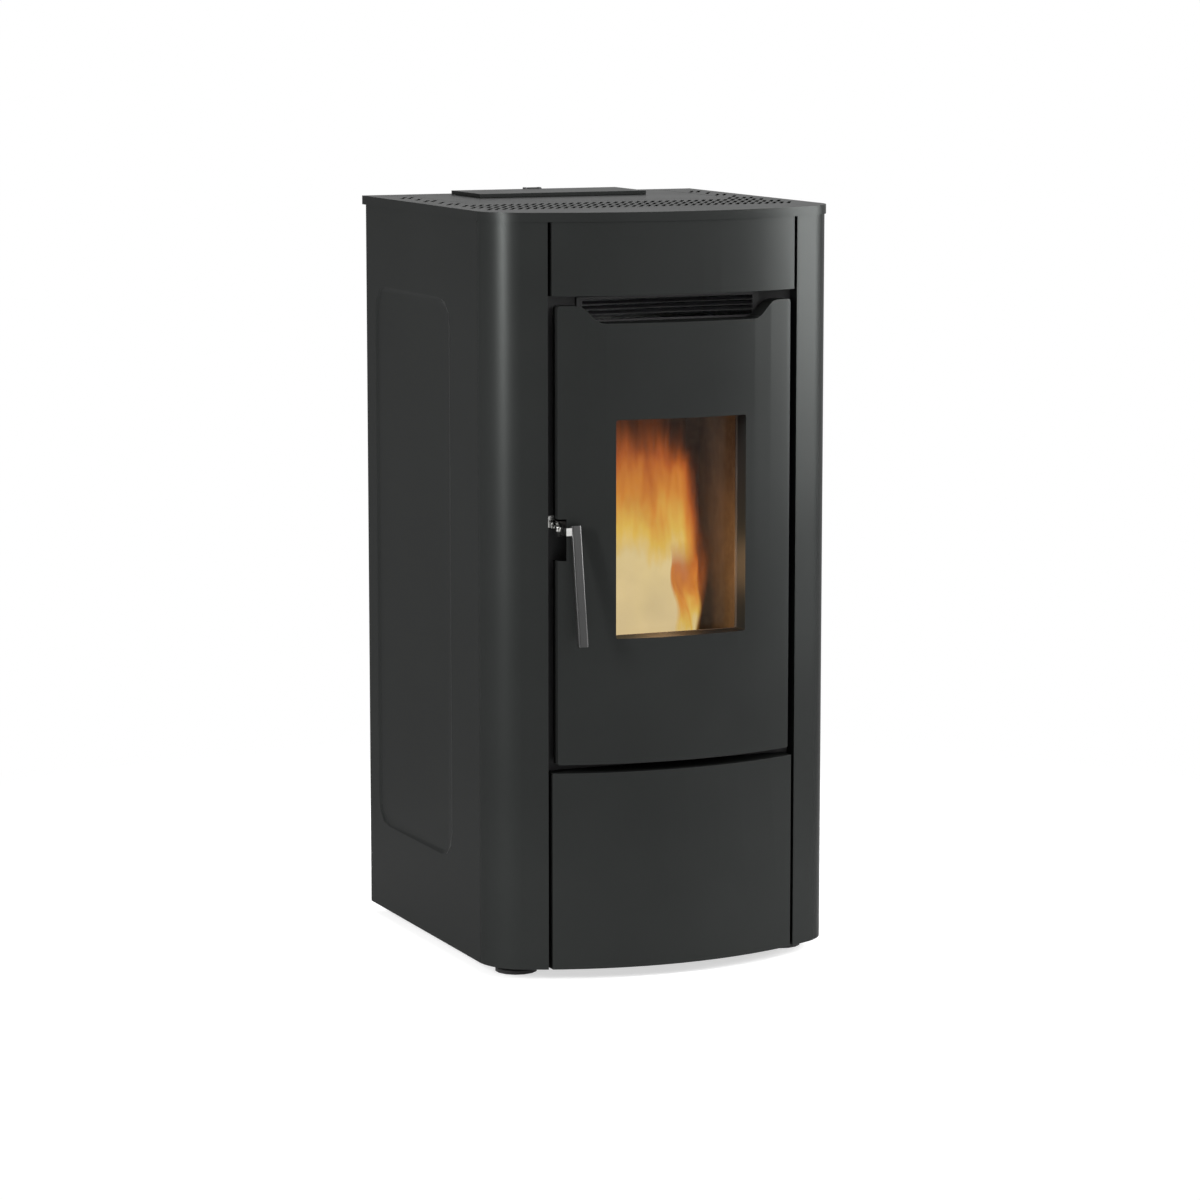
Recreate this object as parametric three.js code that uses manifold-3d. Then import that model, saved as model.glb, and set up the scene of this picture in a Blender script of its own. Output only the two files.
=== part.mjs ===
// Free-standing pellet stove: a bowed sheet-metal casing round a firebox, a pellet hopper with its auger,
// a warm-air fan and a smoke fan. Millimetres, +Z up, the front towards -Y.
// Inside the stove's group y is counted from the foremost line of the bow towards the back.
import * as THREE from "three";
import { mergeVertices } from "three/addons/utils/BufferGeometryUtils.js";
import Module from "manifold-3d";

const wasm = await Module();
wasm.setup();

// ---- Driving dimensions ----

// Casing
const casingWidth = 489;
const casingDepth = 517;
const footHeight = 15;
const cornerRadius = 67;
const bowRadius = 474;
const sheet = 2;
const fit = 0.3; // gap between pieces that touch
const turning = 0.15; // radial play of a hinge or a slow shaft
const sideOpening = 353; // between the front edges of the two side panels
const panelGap = 5;
const lowerPanelTop = 275;
const doorGap = 11;
const doorHeight = 595;
const upperPanelGap = 12.5;
const upperPanelHeight = 94.5; // up to the top plate's folded edge
const returnWidth = 18; // the side panels' flanges along the back
const trayHeight = 30;
const planSegments = 8; // facets of each curve of the casing's plan

// Pressed field in each side panel
const fieldFront = 205;
const fieldToBack = 35;
const fieldBottom = 135;
const fieldToTop = 108;
const fieldRadius = 36;
const fieldDepth = 1.5;
const fieldSlope = 4;

// Top plate, its slots, and the cover set into it
const plateHeight = 12;
const plateSheet = 3;
const plateOverhang = 2;
const plateBackOverhang = 9;
const slotLength = 42;
const slotWidth = 4.6;
const slotPitch = 10.7;
const slotBridge = 7;
const slotAngle = THREE.MathUtils.degToRad(29);
const slotFieldFront = 118;
const slotFieldToBack = 45;
const slotMargin = 10;
const coverHalf = 189.5;
const coverFront = 279.5;
const coverToBack = 14.5;
const coverSeam = 1;

// Hopper lid
const mouthHalf = 112;
const mouthDepth = 86;
const mouthToLidBack = 10;
const lidHalf = 123;
const lidDepth = 106;
const lidHeight = 5;
const lidSheet = 2;
const gasketWidth = 6.5;
const lidHingeToBack = 6;
const lidHingeGap = 5; // from the lid's back edge to its pin
const lidHingeRise = 4;
const lidPin = 1.5;
const lidKnuckle = 3;
const lidKnuckleHalf = 8;
const lidEar = 4;
const lidEarGap = 0.6;

// Feet
const footRadius = 28;
const footStem = 5;
const footNeck = 10;
const footPad = 8;
const footEdge = 3; // chamfer round the pad
const footInset = 52;
const footSides = 14;

// Front frame, and the warm-air outlet above its fire opening
const frameY = 56;
const frameSheet = 2.5;
const fireOpeningHalf = 120;
const fireOpeningRise = 39; // above the door's lower edge
const fireOpeningDrop = 46; // below the door's upper edge
const fireOpeningRadius = 18;
const outletHalf = 125;
const outletDrop = 21; // its lower edge, below the door's upper edge
const outletRise = 9; // its upper edge, above it
const grilleRim = 4;
const grilleDepth = 3;
const bladeCount = 3;
const bladeDepth = 7;
const bladeSheet = 1.2;

// Door
const doorWidth = 330;
const doorBack = 45;
const gripHalf = 112.5; // flat bottom of the hand cut-out in the door's top edge
const gripDepth = 23;
const gripRadius = 8;
const doorCorner = 4;
const windowHalf = 92;
const windowRise = 164; // above the door's lower edge
const windowDrop = 147; // below the door's upper edge
const windowRadius = 3;
const notchWidth = 11;
const notchBelow = 41; // the handle's notch, from the latch's axis down and up
const notchAbove = 13;
const castInset = 27;
const castFront = 35;
const castBack = 47;
const castRise = 14;
const castDrop = 31;
const castRadius = 14;
const glassSheet = 4;
const glassLap = 10;
const glassRebate = 5; // from the casting's front to the glass
const glassRadius = 4;
const ropeWidth = 11;
const ropeGroove = 3;
const ropeInset = 2; // rim left outside the rope's groove
const ropeRound = 2.5;
const ropeRadius = 12;
const hingeInset = 13;
const hingeY = 38;
const hingePin = 3;
const hingeLug = 8;
const hingeEye = 6; // radius of a lug's round end
const hingeHalf = 5;
const hingeSwing = 7; // room that the turning door's edge needs in front of the hinge's axis
const eyeHeight = 14;
const hingePlay = 3;
const earHalf = 9;
const lowerHingeRise = 54;
const upperHingeDrop = 81;
const bracketMargin = 14;
const bracketSheet = 2;

// Handle and latch
const latchY = 38;
const latchRise = 308; // above the door's lower edge
const latchPin = 3;
const latchEye = 8;
const leverSheet = 4;
const leverInset = 2.5; // from the door's left edge
const armHalf = 5;
const hookReach = 2.6; // behind the roller
const hookTall = 9;
const gripWidth = 13;
const gripThick = 8;
const gripTopY = 11;
const gripRise = 6; // its upper end above the latch's axis
const gripLength = 156;
const gripLean = Math.atan2(24, 154);
const gripCorner = 2.5;
const gripGap = 8; // from the lever's left face to the grip's
const rollerRadius = 2.5;
const rollerForward = 7.5; // from the front frame to the roller's axis
const rollerRise = 2;
const keeperMargin = 9;
const keeperHeight = 16;
const cheekSheet = 2;
const cheekGap = 2.5;
const cheekRise = 5;

// Firebox
const plate = 3;
const boxHalf = 150;
const boxBack = 262;
const boxUnder = 25; // below the fire opening
const boxDrop = 35; // its top, below the fire opening's
const liner = 12;
const linerDrop = 50;
const linerGap = 2;
const ribDepth = 4;
const ribFoot = 10;
const ribPitch = 22;
const igniterPlay = 3;
const ribMargin = 20;
const ribStart = 60; // above the pot holder
const smokeHoleFront = 165;
const smokeHoleBack = 240;
const smokeHoleMargin = 10;
const deflectorSheet = 5;
const deflectorFront = 92;
const deflectorBend = 38; // from its front edge to the bend
const deflectorRise = 22;
const holderFront = 100;
const holderRise = 45;
const holderHeight = 53;
const potHalf = 50;
const potFront = 125;
const potDepth = 80;
const potLift = 7; // above the holder's floor
const potAbove = 30; // above the holder's top
const potWall = 5;
const potRim = 7;
const potRimSheet = 4;
const potHole = 3;
const potSideHole = 2.5;
const potHolePitch = 22;
const panHeight = 37;
const panSheet = 1.5;
const panPlay = 4;
const panFront = 6;
const panLipHalf = 30;
const panLip = 5;
const igniterRadius = 5;
const igniterDrop = 13; // below the holder's top
const igniterCollar = 8;
const igniterFlange = 13;
const igniterLength = 30; // behind the firebox

// Heat exchanger
const exchangerHeight = 46;
const tubeRadius = 13;
const tubeSheet = 2;
const tubePitch = 36;
const tubeMargin = 4;

// Pellet feed
const augerToBox = 30; // from the firebox's back to the screw's upper end
const feedRise = 107; // from the pot's top to it
const augerRise = 160;
const augerBehind = 18; // from the neck's back to the screw's lower end
const augerBore = 24;
const tubeWall = 2;
const tubeBeyond = 12; // the tube's length past the chute's centre
const endPlate = 4;
const bushLength = 14;
const bushWall = 5;
const shaftRadius = 6;
const flightRadius = 21.5;
const flightPitch = 40;
const flightThick = 2.5;
const flightSteps = 12; // steps in one turn
const flightStart = 8;
const flightShort = 30; // from the flight's upper end to the chute's centre
const augerSides = 20;
const shaftSides = 12;
const gearFlange = 5;
const gearHalf = 25;
const gearLength = 35;
const gearCanRadius = 24;
const gearCanLength = 48;
const gearBoss = 8;
const motorShaft = 14; // how far the shaft reaches into the gearmotor
const chuteHalf = 20;
const chuteDrop = new THREE.Vector2(-62, -74);
const chuteReach = 3.7; // in front of the fire back
const hopperHalf = 175;
const hopperGap = 28; // behind the firebox
const hopperToBack = 11;
const hopperRim = 12;
const hopperSlope = 170; // height of the sloping part
const hopperSideSlope = 40; // and how much higher it starts at the sides
const neckHalf = 22;
const neckToBack = 89;
const neckDepth = 48;
const neckRise = 95; // above the screw's lower end
const neckLength = 18;
const collarWall = 2;
const gridDrop = 88; // below the casing's top
const gridSheet = 4;
const gridBar = 6;
const gridColumns = 7;

// Warm-air fan: wheel, scroll and outlet neck
const blowerX = -60;
const blowerY = 330;
const blowerZ = 135;
const blowerHalf = 57;
const blowerWheelRadius = 58;
const blowerLow = 66;
const blowerHigh = 90;
const blowerNeck = 52;
const blowerNeckRise = 115;
const blowerInlet = 44;
const blowerStand = 40;
const blowerStandHalf = 30;
const blowerVanes = { count: 16, depth: 14, thick: 1.6, pitch: 0.6 };

// Smoke fan
const extractorX = 115;
const extractorToBack = 117;
const extractorZ = 216;
const extractorHalf = 25;
const extractorWheelRadius = 52;
const extractorLow = 62;
const extractorHigh = 80;
const extractorNeck = 60;
const extractorNeckLength = 78;
const extractorInlet = 28;
const extractorFlange = 10;
const extractorFlangeSheet = 3;
const extractorVanes = { count: 8, depth: 34, thick: 2, pitch: 0 };

// Fan wheels, shafts and motors
const wheelSides = 20;
const wheelGap = 3; // beside a wheel
const wheelDisc = 3;
const wheelRing = 3;
const wheelHub = 10;
const wheelBoss = 12;
const motorRadius = 33;
const motorLength = 48;
const motorBoss = 12;
const motorBossLength = 8;
const motorFoot = 8;
const motorFootHalf = 10;
const motorFootSheet = 3;
const fanShaft = 4;
const shaftDepth = 12; // how far a fan's shaft reaches into its motor
const shaftHole = 8; // in the housing's wall
const scrollSteps = 18;

// Smoke duct
const ductOuterX = 192;
const ductFront = 155;
const ductDepth = 95;
const ductTopDrop = 6;
const ductLow = 48; // the foot's underside, below the smoke fan's axis
const ductHigh = 48;
const ductBehind = 40;
const spigotWall = 4;

// Flue and air pipe
const flueRadius = 40;
const flueWall = 2;
const flueBehind = 41; // from the casing's back to the flue's end
const flueSides = 28;
const flueFlange = 3;
const flueCollar = 3;
const airX = -95;
const airRise = 27; // above the holder's floor
const airRadius = 30;
const airWall = 1.5;
const airBehind = 19;
const airSides = 20;
const airFlange = 8;
const airFlangeSheet = 2.5;
const airPortHalf = 21; // square ports for the air in the fire back and in the pot holder

// Vents of the rear panel
const ventPitch = 15;
const ventHeight = 7;
const lowerVentRows = 7;
const lowerVentHalf = 58;
const lowerVentBottom = 84;
const upperVentRows = 4;
const upperVentHalf = 90;
const upperVentDrop = 138; // from the casing's top to the lowest of them

// Electrics
const inletInset = 54.5;
const inletBottom = 90;
const inletHeight = 50;
const inletHalf = 14;
const inletFlange = 4;
const inletFlangeSheet = 2;
const inletSplit = 26; // from its foot to the line between socket and switch
const inletDepth = 22;
const socketHalf = 12;
const socketDepth = 16;
const socketMargin = 3;
const contactHalf = 1;
const contactPitch = 7;
const contactLength = 12;
const contactTall = 4;
const contactRise = 8;
const contactStep = 4; // the middle contact stands higher
const rockerHalf = 8;
const rockerTall = 9;
const rockerDepth = 6;
const rockerPlay = 0.8;
const rockerTilt = 8;
const rockerIn = 1; // its axis, in front of the casing's back
const rockerStub = 1.5;
const rockerStubLength = 2;
const rockerWell = 8; // from the rocker's axis to the bottom of its well
const rockerFoot = 5;
const rockerCrest = 2.2;
const rockerDip = 0.9;
const thermostatInset = 64.5;
const thermostatZ = 330;
const thermostatRadius = 12;
const thermostatDepth = 28;
const thermostatNeck = 5;
const thermostatNeckLength = 4;
const thermostatCapRadius = 11;
const thermostatCapLength = 13;
const boardToBack = 201; // from the casing's back to the board's front edge
const boardLength = 138;
const boardBottom = 336;
const boardHeight = 158;
const boardSheet = 1.6;
const boardLift = 5; // off the side panel
const boardMargin = 6;
const boardStand = 6;
const terminalWidth = 13;
const terminalCount = 3;
const terminalPitch = 20;
const terminalHeight = 9;
const relayTall = 20;
const relayHeight = 14;
const transformerSize = 38;
const transformerHeight = 20;
const chipSize = 24;
const chipHeight = 3;
const capRadius = 8;
const switchForward = 59; // the pressure switch's centre, behind the board's front edge
const switchDrop = 71; // and below the board
const switchRadius = 30;
const switchDepth = 24;
const switchNipple = 3;
const switchFootHalf = 35;

// ---- Derived sizes ----

const halfWidth = casingWidth / 2;
const doorBottom = lowerPanelTop + doorGap;
const doorTop = doorBottom + doorHeight;
const upperPanelBottom = doorTop + upperPanelGap;
const casingTop = upperPanelBottom + upperPanelHeight;
const plateTop = casingTop + plateHeight;
const plateUnder = plateTop - plateSheet;
const panelTop = plateUnder - fit;
const sideEdge = sideOpening / 2;
const frontPanelHalf = sideEdge - panelGap;
const doorHalf = doorWidth / 2;
const rearFace = casingDepth - sheet - fit;
const rearInner = rearFace - sheet;
const floorZ = footHeight + sheet + fit;
const frameBack = frameY + frameSheet;
const frameSeat = frameY - fit;
const boxFront = frameBack + fit;
const fieldBack = casingDepth - fieldToBack;
const fieldTop = casingTop - fieldToTop;
const slotFieldBack = casingDepth - slotFieldToBack;
const coverBack = casingDepth - coverToBack;
const lidHingeY = casingDepth - lidHingeToBack;
const lidHingeZ = plateTop + lidHingeRise;
const lidBack = lidHingeY - lidHingeGap;
const lidFront = lidBack - lidDepth;
const lidTop = plateTop + fit + lidHeight;
const mouthBack = lidBack - mouthToLidBack;
const mouthFront = mouthBack - mouthDepth;
const fireOpeningBottom = doorBottom + fireOpeningRise;
const fireOpeningTop = doorTop - fireOpeningDrop;
const outletBottom = doorTop - outletDrop;
const outletTop = doorTop + outletRise;
const windowBottom = doorBottom + windowRise;
const windowTop = doorTop - windowDrop;
const castHalf = doorHalf - castInset;
const castBottom = doorBottom + castRise;
const castTop = doorTop - castDrop;
const glassFront = castFront + glassRebate;
const hingeX = doorHalf - hingeInset;
const lowerLug = [doorBottom + lowerHingeRise, doorBottom + lowerHingeRise + hingeLug];
const upperLug = [doorTop - upperHingeDrop, doorTop - upperHingeDrop + hingeLug];
const latchZ = doorBottom + latchRise;
const leverX = leverInset - doorHalf;
const gripLeft = leverX + gripGap;
const gripTopZ = latchZ + gripRise;
const pinEnd = -castHalf - latchEye;
const rollerY = frameY - rollerForward;
const rollerZ = latchZ + rollerRise;
const handleReach = gripLength * Math.sin(gripLean) + (gripThick / 2) * Math.cos(gripLean) - gripTopY;
const boxBottom = fireOpeningBottom - boxUnder;
const boxTop = fireOpeningTop - boxDrop;
const linerTop = boxTop - linerDrop;
const linerInner = boxHalf - plate - fit - liner;
const fireBackFront = boxBack - plate - fit - liner;
const smokeHole = [linerTop + smokeHoleMargin, boxTop - smokeHoleMargin];
const holderBottom = boxBottom + holderRise;
const holderTop = holderBottom + holderHeight;
const potBack = potFront + potDepth;
const potBottom = holderBottom + potLift;
const potTop = holderTop + potAbove;
const igniterZ = holderTop - igniterDrop;
const exchangerTop = boxTop + exchangerHeight;
const neckBack = casingDepth - neckToBack;
const neckFront = neckBack - neckDepth;
const augerHigh = new THREE.Vector2(boxBack + augerToBox, potTop + feedRise); // y, z of the screw's upper end
const augerLow = new THREE.Vector2(neckBack - augerBehind, augerHigh.y - augerRise);
const augerAxis = augerHigh.clone().sub(augerLow);
const augerLength = augerAxis.length();
const augerTilt = Math.atan2(augerAxis.x, augerAxis.y);
const chuteEndY = fireBackFront - chuteReach;
const neckTop = augerLow.y + neckRise;
const neckBottom = neckTop - neckLength;
const hopperShoulder = neckTop + hopperSlope;
const hopperFront = boxBack + hopperGap;
const hopperBack = casingDepth - hopperToBack;
const gridZ = casingTop - gridDrop;
const extractorY = casingDepth - extractorToBack;
const extractorNeckEnd = extractorY + extractorNeckLength;
const extractorNeckBottom = extractorZ - extractorHigh;
const flueZ = extractorNeckBottom + extractorNeck / 2;
const flueEnd = casingDepth + flueBehind;
const airZ = holderBottom + airRise;
const airEnd = casingDepth + airBehind;
const overallDepth = handleReach + flueEnd;
const inletX = inletInset - halfWidth;
const inletTop = inletBottom + inletHeight;
const inletFace = rearFace + fit + inletFlangeSheet;
const rockerY = casingDepth - rockerIn;
const rockerZ = (inletBottom + inletSplit + inletTop) / 2 + 1;
const thermostatX = halfWidth - thermostatInset;
const boardX = -halfWidth + sheet + fieldDepth + fit;
const boardFront = casingDepth - boardToBack;

// The two fans, each with its axis, wheel, scroll and outlet neck.
const blower = {
  x: blowerX,
  y: blowerY,
  z: blowerZ,
  half: blowerHalf,
  wheel: blowerWheelRadius,
  low: blowerLow,
  high: blowerHigh,
  neck: blowerNeck,
  neckTop: blowerZ + blowerNeckRise,
};
const extractor = {
  x: extractorX,
  y: extractorY,
  z: extractorZ,
  half: extractorHalf,
  wheel: extractorWheelRadius,
  low: extractorLow,
  high: extractorHigh,
};

// ---- Shapes and solids ----

// A closed three.js geometry as a solid that can be joined and cut.
function solid(geometry) {
  const bare = geometry.clone();
  bare.deleteAttribute("normal");
  bare.deleteAttribute("uv");
  const merged = mergeVertices(bare, 1e-3);
  return new wasm.Manifold(
    new wasm.Mesh({
      numProp: 3,
      vertProperties: merged.attributes.position.array,
      triVerts: new Uint32Array(merged.index.array),
    }),
  );
}

function join(first, ...others) {
  return others.reduce((whole, other) => whole.add(other), first);
}

function cut(whole, ...tools) {
  return tools.reduce((left, tool) => left.subtract(tool), whole);
}

function block([x0, x1], [y0, y1], [z0, z1]) {
  const box = new THREE.BoxGeometry(x1 - x0, y1 - y0, z1 - z0);
  return solid(box.translate((x0 + x1) / 2, (y0 + y1) / 2, (z0 + z1) / 2));
}

// Turns a geometry made along +Z so that it runs along the named axis: a shape's own x and y become
// x and z for axis "y", and y and z for axis "x".
function turned(geometry, axis, from, to = from) {
  if (axis === "y") {
    return geometry.rotateX(Math.PI / 2).translate(0, to, 0);
  }
  if (axis === "x") {
    const basis = new THREE.Matrix4().makeBasis(
      new THREE.Vector3(0, 1, 0),
      new THREE.Vector3(0, 0, 1),
      new THREE.Vector3(1, 0, 0),
    );
    return geometry.applyMatrix4(basis).translate(from, 0, 0);
  }
  return geometry.translate(0, 0, from);
}

function prism(shape, axis, [from, to], curveSegments = 6) {
  const geometry = new THREE.ExtrudeGeometry(shape, {
    depth: to - from,
    bevelEnabled: false,
    curveSegments,
  });
  return solid(turned(geometry, axis, from, to));
}

// A round bar along an axis. Its centre is given by the two coordinates across that axis, in x, y, z order.
function rod(axis, [a, b], radius, [from, to], sides = 24) {
  const bar = new THREE.CylinderGeometry(radius, radius, to - from, sides).rotateX(Math.PI / 2);
  const centred = bar.translate(0, 0, (to - from) / 2);
  if (axis === "x") {
    return solid(centred.rotateY(Math.PI / 2).translate(from, a, b));
  }
  if (axis === "y") {
    return solid(centred.rotateX(-Math.PI / 2).translate(a, from, b));
  }
  return solid(centred.translate(a, b, from));
}

// A body of revolution about an upright axis; the profile lists radius and height.
function spun(profile, [x, y], sides = 32) {
  const points = profile.map(([radius, height]) => new THREE.Vector2(radius, height));
  return solid(new THREE.LatheGeometry(points, sides).rotateX(Math.PI / 2).translate(x, y, 0));
}

// Radius of a many-sided bore whose flats clear a round shaft.
function boreRadius(radius, sides) {
  return radius / Math.cos(Math.PI / sides);
}

function polygon(points) {
  return new THREE.Shape(points.map(([a, b]) => new THREE.Vector2(a, b)));
}

// A polygon whose corners are rounded; a corner's third number is how far its rounding reaches.
function roundedPolygon(corners) {
  const shape = new THREE.Shape();
  corners.forEach(([a, b, reach = 0], index) => {
    const corner = new THREE.Vector2(a, b);
    const before = new THREE.Vector2(...corners.at(index - 1));
    const after = new THREE.Vector2(...corners[(index + 1) % corners.length]);
    const start = corner.clone().add(before.sub(corner).setLength(reach));
    const end = corner.clone().add(after.sub(corner).setLength(reach));
    if (index === 0) {
      shape.moveTo(start.x, start.y);
    } else {
      shape.lineTo(start.x, start.y);
    }
    if (reach > 0) {
      shape.quadraticCurveTo(corner.x, corner.y, end.x, end.y);
    }
  });
  return shape;
}

function roundedRect([a0, a1], [b0, b1], radius) {
  return roundedPolygon([
    [a0, b0, radius],
    [a1, b0, radius],
    [a1, b1, radius],
    [a0, b1, radius],
  ]);
}

// The casing's plan, moved in by a distance: bowed front, round front corners, flat sides and back.
function casingPlan(inset, back = casingDepth - inset) {
  const cornerX = halfWidth - cornerRadius;
  const cornerY = bowRadius - Math.sqrt((bowRadius - cornerRadius) ** 2 - cornerX ** 2);
  const swing = Math.atan2(cornerX, bowRadius - cornerY);
  const corner = cornerRadius - inset;
  const ahead = 1.5 * Math.PI;
  const shape = new THREE.Shape();
  shape.moveTo(-halfWidth + inset, back);
  shape.lineTo(-halfWidth + inset, cornerY);
  shape.absarc(-cornerX, cornerY, corner, Math.PI, ahead - swing);
  shape.absarc(0, bowRadius, bowRadius - inset, ahead - swing, ahead + swing);
  shape.absarc(cornerX, cornerY, corner, ahead + swing, 2 * Math.PI);
  shape.lineTo(halfWidth - inset, back);
  return shape;
}

function casingPrism(inset, heights, back) {
  return prism(casingPlan(inset, back), "z", heights, planSegments);
}

// The casing's wall, one sheet thick, between two heights.
function casingWall(heights) {
  return cut(casingPrism(0, heights), casingPrism(sheet, heights));
}

// ---- Finishes ----

function finish(color, roughness, metalness) {
  return new THREE.MeshStandardMaterial({ color, roughness, metalness });
}

const paint = finish(0x2f3130, 0.5, 0.35);
const blackPaint = finish(0x101112, 0.6, 0.2);
const galvanised = finish(0x9fa3a5, 0.45, 0.8);
const steel = finish(0x8d9092, 0.35, 0.9);
const castIron = finish(0x2a2826, 0.8, 0.4);
const vermiculite = finish(0xa9957a, 0.95, 0);
const ceramicGlass = finish(0x2b2620, 0.08, 0);
const rope = finish(0x5a5956, 0.95, 0);
const moulded = finish(0x17181a, 0.55, 0);
const boardGreen = finish(0x1f5a38, 0.6, 0.1);

const stove = new THREE.Group();
stove.position.y = handleReach - overallDepth / 2;

// Adds one named piece to the stove.
function piece(name, made, material) {
  const mesh = made.getMesh();
  const geometry = new THREE.BufferGeometry();
  geometry.setAttribute("position", new THREE.BufferAttribute(mesh.vertProperties, 3));
  geometry.setIndex(new THREE.BufferAttribute(mesh.triVerts, 1));
  geometry.computeVertexNormals();
  const part = new THREE.Mesh(geometry, material);
  part.name = name;
  stove.add(part);
}

// ---- Casing ----

// Left side panel: wraps the front corner, ends in a flange beside the door and another along the back.
function sidePanel() {
  const heights = [footHeight, panelTop];
  const wall = casingWall(heights);
  const front = wall.intersect(block([-halfWidth, -sideEdge], [0, fieldFront], heights));
  const back = wall.intersect(block([-halfWidth, returnWidth - halfWidth], [fieldFront, casingDepth], heights));
  const flange = casingPrism(0, heights).intersect(block([-sideEdge - sheet, -sideEdge], [0, frameSeat], heights));
  return cut(join(front, back, flange, pressedField(sheet)), pressedField(0));
}

// The shallow field pressed into the side: a body with sloping edges that reaches one depth past the panel's
// outer face, or past its inner face where it starts one sheet behind.
function pressedField(behind) {
  const edge = fieldSlope - behind;
  const field = roundedRect(
    [fieldFront + edge, fieldBack - edge],
    [fieldBottom + edge, fieldTop - edge],
    fieldRadius,
  );
  const geometry = new THREE.ExtrudeGeometry(field, {
    depth: fieldDepth,
    bevelThickness: fieldDepth,
    bevelSize: fieldSlope,
    bevelSegments: 1,
    curveSegments: 3,
  });
  const start = behind - halfWidth - fieldDepth;
  const body = solid(turned(geometry, "x", start, start + fieldDepth));
  return body.intersect(block([-halfWidth, 0], [0, casingDepth], [0, plateTop]));
}

function mirrored(made) {
  const mesh = made.getMesh();
  const geometry = new THREE.BufferGeometry();
  const points = Float32Array.from(mesh.vertProperties, (value, index) => (index % 3 === 0 ? -value : value));
  geometry.setAttribute("position", new THREE.BufferAttribute(points, 3));
  geometry.setIndex(Array.from({ length: mesh.triVerts.length / 3 }).flatMap((_, face) => [
    mesh.triVerts[face * 3],
    mesh.triVerts[face * 3 + 2],
    mesh.triVerts[face * 3 + 1],
  ]));
  return solid(geometry);
}

// A bowed front panel between two heights, with a flange down each side and one along the named edge.
function frontPanel([bottom, top], edge) {
  const heights = [bottom, top];
  const across = [-frontPanelHalf, frontPanelHalf];
  const skin = casingWall(heights).intersect(block(across, [0, frameY], heights));
  const shelf = edge === "bottom" ? [bottom, bottom + sheet] : [top - sheet, top];
  const flanges = join(
    block([-frontPanelHalf, -frontPanelHalf + sheet], [0, frameSeat], heights),
    block([frontPanelHalf - sheet, frontPanelHalf], [0, frameSeat], heights),
    block(across, [0, frameSeat], shelf),
  );
  return skin.add(casingPrism(0, heights).intersect(flanges));
}

// One slanted slot of the top plate, centred on a point, as a tool that cuts through the sheet.
function slotTool(x, y) {
  const slot = new THREE.BoxGeometry(slotWidth, slotLength, 2 * plateHeight);
  return solid(slot.rotateZ(-slotAngle).translate(x, y, plateTop));
}

// A slot is cut where both of its ends lie on the plate, clear of its edge and of the cover.
function slotFits(x, y) {
  const reach = slotLength / 2;
  return [-1, 1].every((end) => {
    const endX = Math.abs(x + end * reach * Math.sin(slotAngle));
    const endY = y + end * reach * Math.cos(slotAngle);
    const onPlate = endX < halfWidth - slotMargin && endY > slotFieldFront && endY < slotFieldBack;
    const onCover = endX < coverHalf + slotWidth && endY > coverFront - slotWidth;
    return onPlate && !onCover;
  });
}

function slotCentres() {
  const centres = [];
  const rowStep = (slotLength + slotBridge) * Math.cos(slotAngle);
  const firstRow = slotFieldFront + (slotLength / 2) * Math.cos(slotAngle) + 1;
  const columns = Math.floor(halfWidth / slotPitch);
  for (let row = 0; firstRow + row * rowStep < slotFieldBack; row += 1) {
    for (let column = -columns; column <= columns; column += 1) {
      const x = (column + (row % 2) / 2) * slotPitch;
      const y = firstRow + row * rowStep;
      if (slotFits(x, y)) {
        centres.push([x, y]);
      }
    }
  }
  return centres;
}

function topPlate() {
  const back = casingDepth + plateBackOverhang;
  const body = casingPrism(-plateOverhang, [casingTop, plateTop], back);
  const hollow = casingPrism(-fit, [casingTop - plateSheet, plateUnder], back - plateSheet);
  const opening = block(
    [-coverHalf - coverSeam, coverHalf + coverSeam],
    [coverFront - coverSeam, coverBack + coverSeam],
    [casingTop, plateTop + plateSheet],
  );
  const slots = slotCentres().map(([x, y]) => slotTool(x, y));
  return cut(body, hollow, opening, ...slots);
}

function topCover() {
  const cover = block([-coverHalf, coverHalf], [coverFront, coverBack], [plateUnder, plateTop]);
  return cut(cover, block([-mouthHalf, mouthHalf], [mouthFront, mouthBack], [0, 2 * plateTop]));
}

function baseTray() {
  const heights = [footHeight, footHeight + trayHeight];
  const inset = sheet + fit;
  const back = rearInner - fit;
  const tray = cut(
    casingPrism(inset, heights, back),
    casingPrism(inset + sheet, [footHeight + sheet, plateTop], back - sheet),
  );
  const half = sideEdge + panelGap;
  const clearOfFront = block([-half, half], [-1, frameY], [0, plateTop]);
  const stems = footPlaces().map((place) => rod("z", place, footStem + turning, [0, floorZ + 1], footSides));
  return cut(tray, clearOfFront, ...stems);
}

// ---- Feet ----

function footPlaces() {
  const x = halfWidth - footInset;
  return [
    [-x, frameY + footInset],
    [x, frameY + footInset],
    [-x, casingDepth - footInset],
    [x, casingDepth - footInset],
  ];
}

// A levelling foot: a broad pad, a neck and a stem up through the tray.
function foot(place) {
  const profile = [
    [0, 0],
    [footRadius, 0],
    [footRadius, footPad - footEdge],
    [footRadius - footEdge, footPad],
    [footNeck, footPad],
    [footNeck, footHeight - fit],
    [footStem, footHeight - fit],
    [footStem, footHeight + trayHeight],
    [0, footHeight + trayHeight],
  ];
  return spun(profile, place, footSides);
}

// ---- Front frame and back ----

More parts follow.
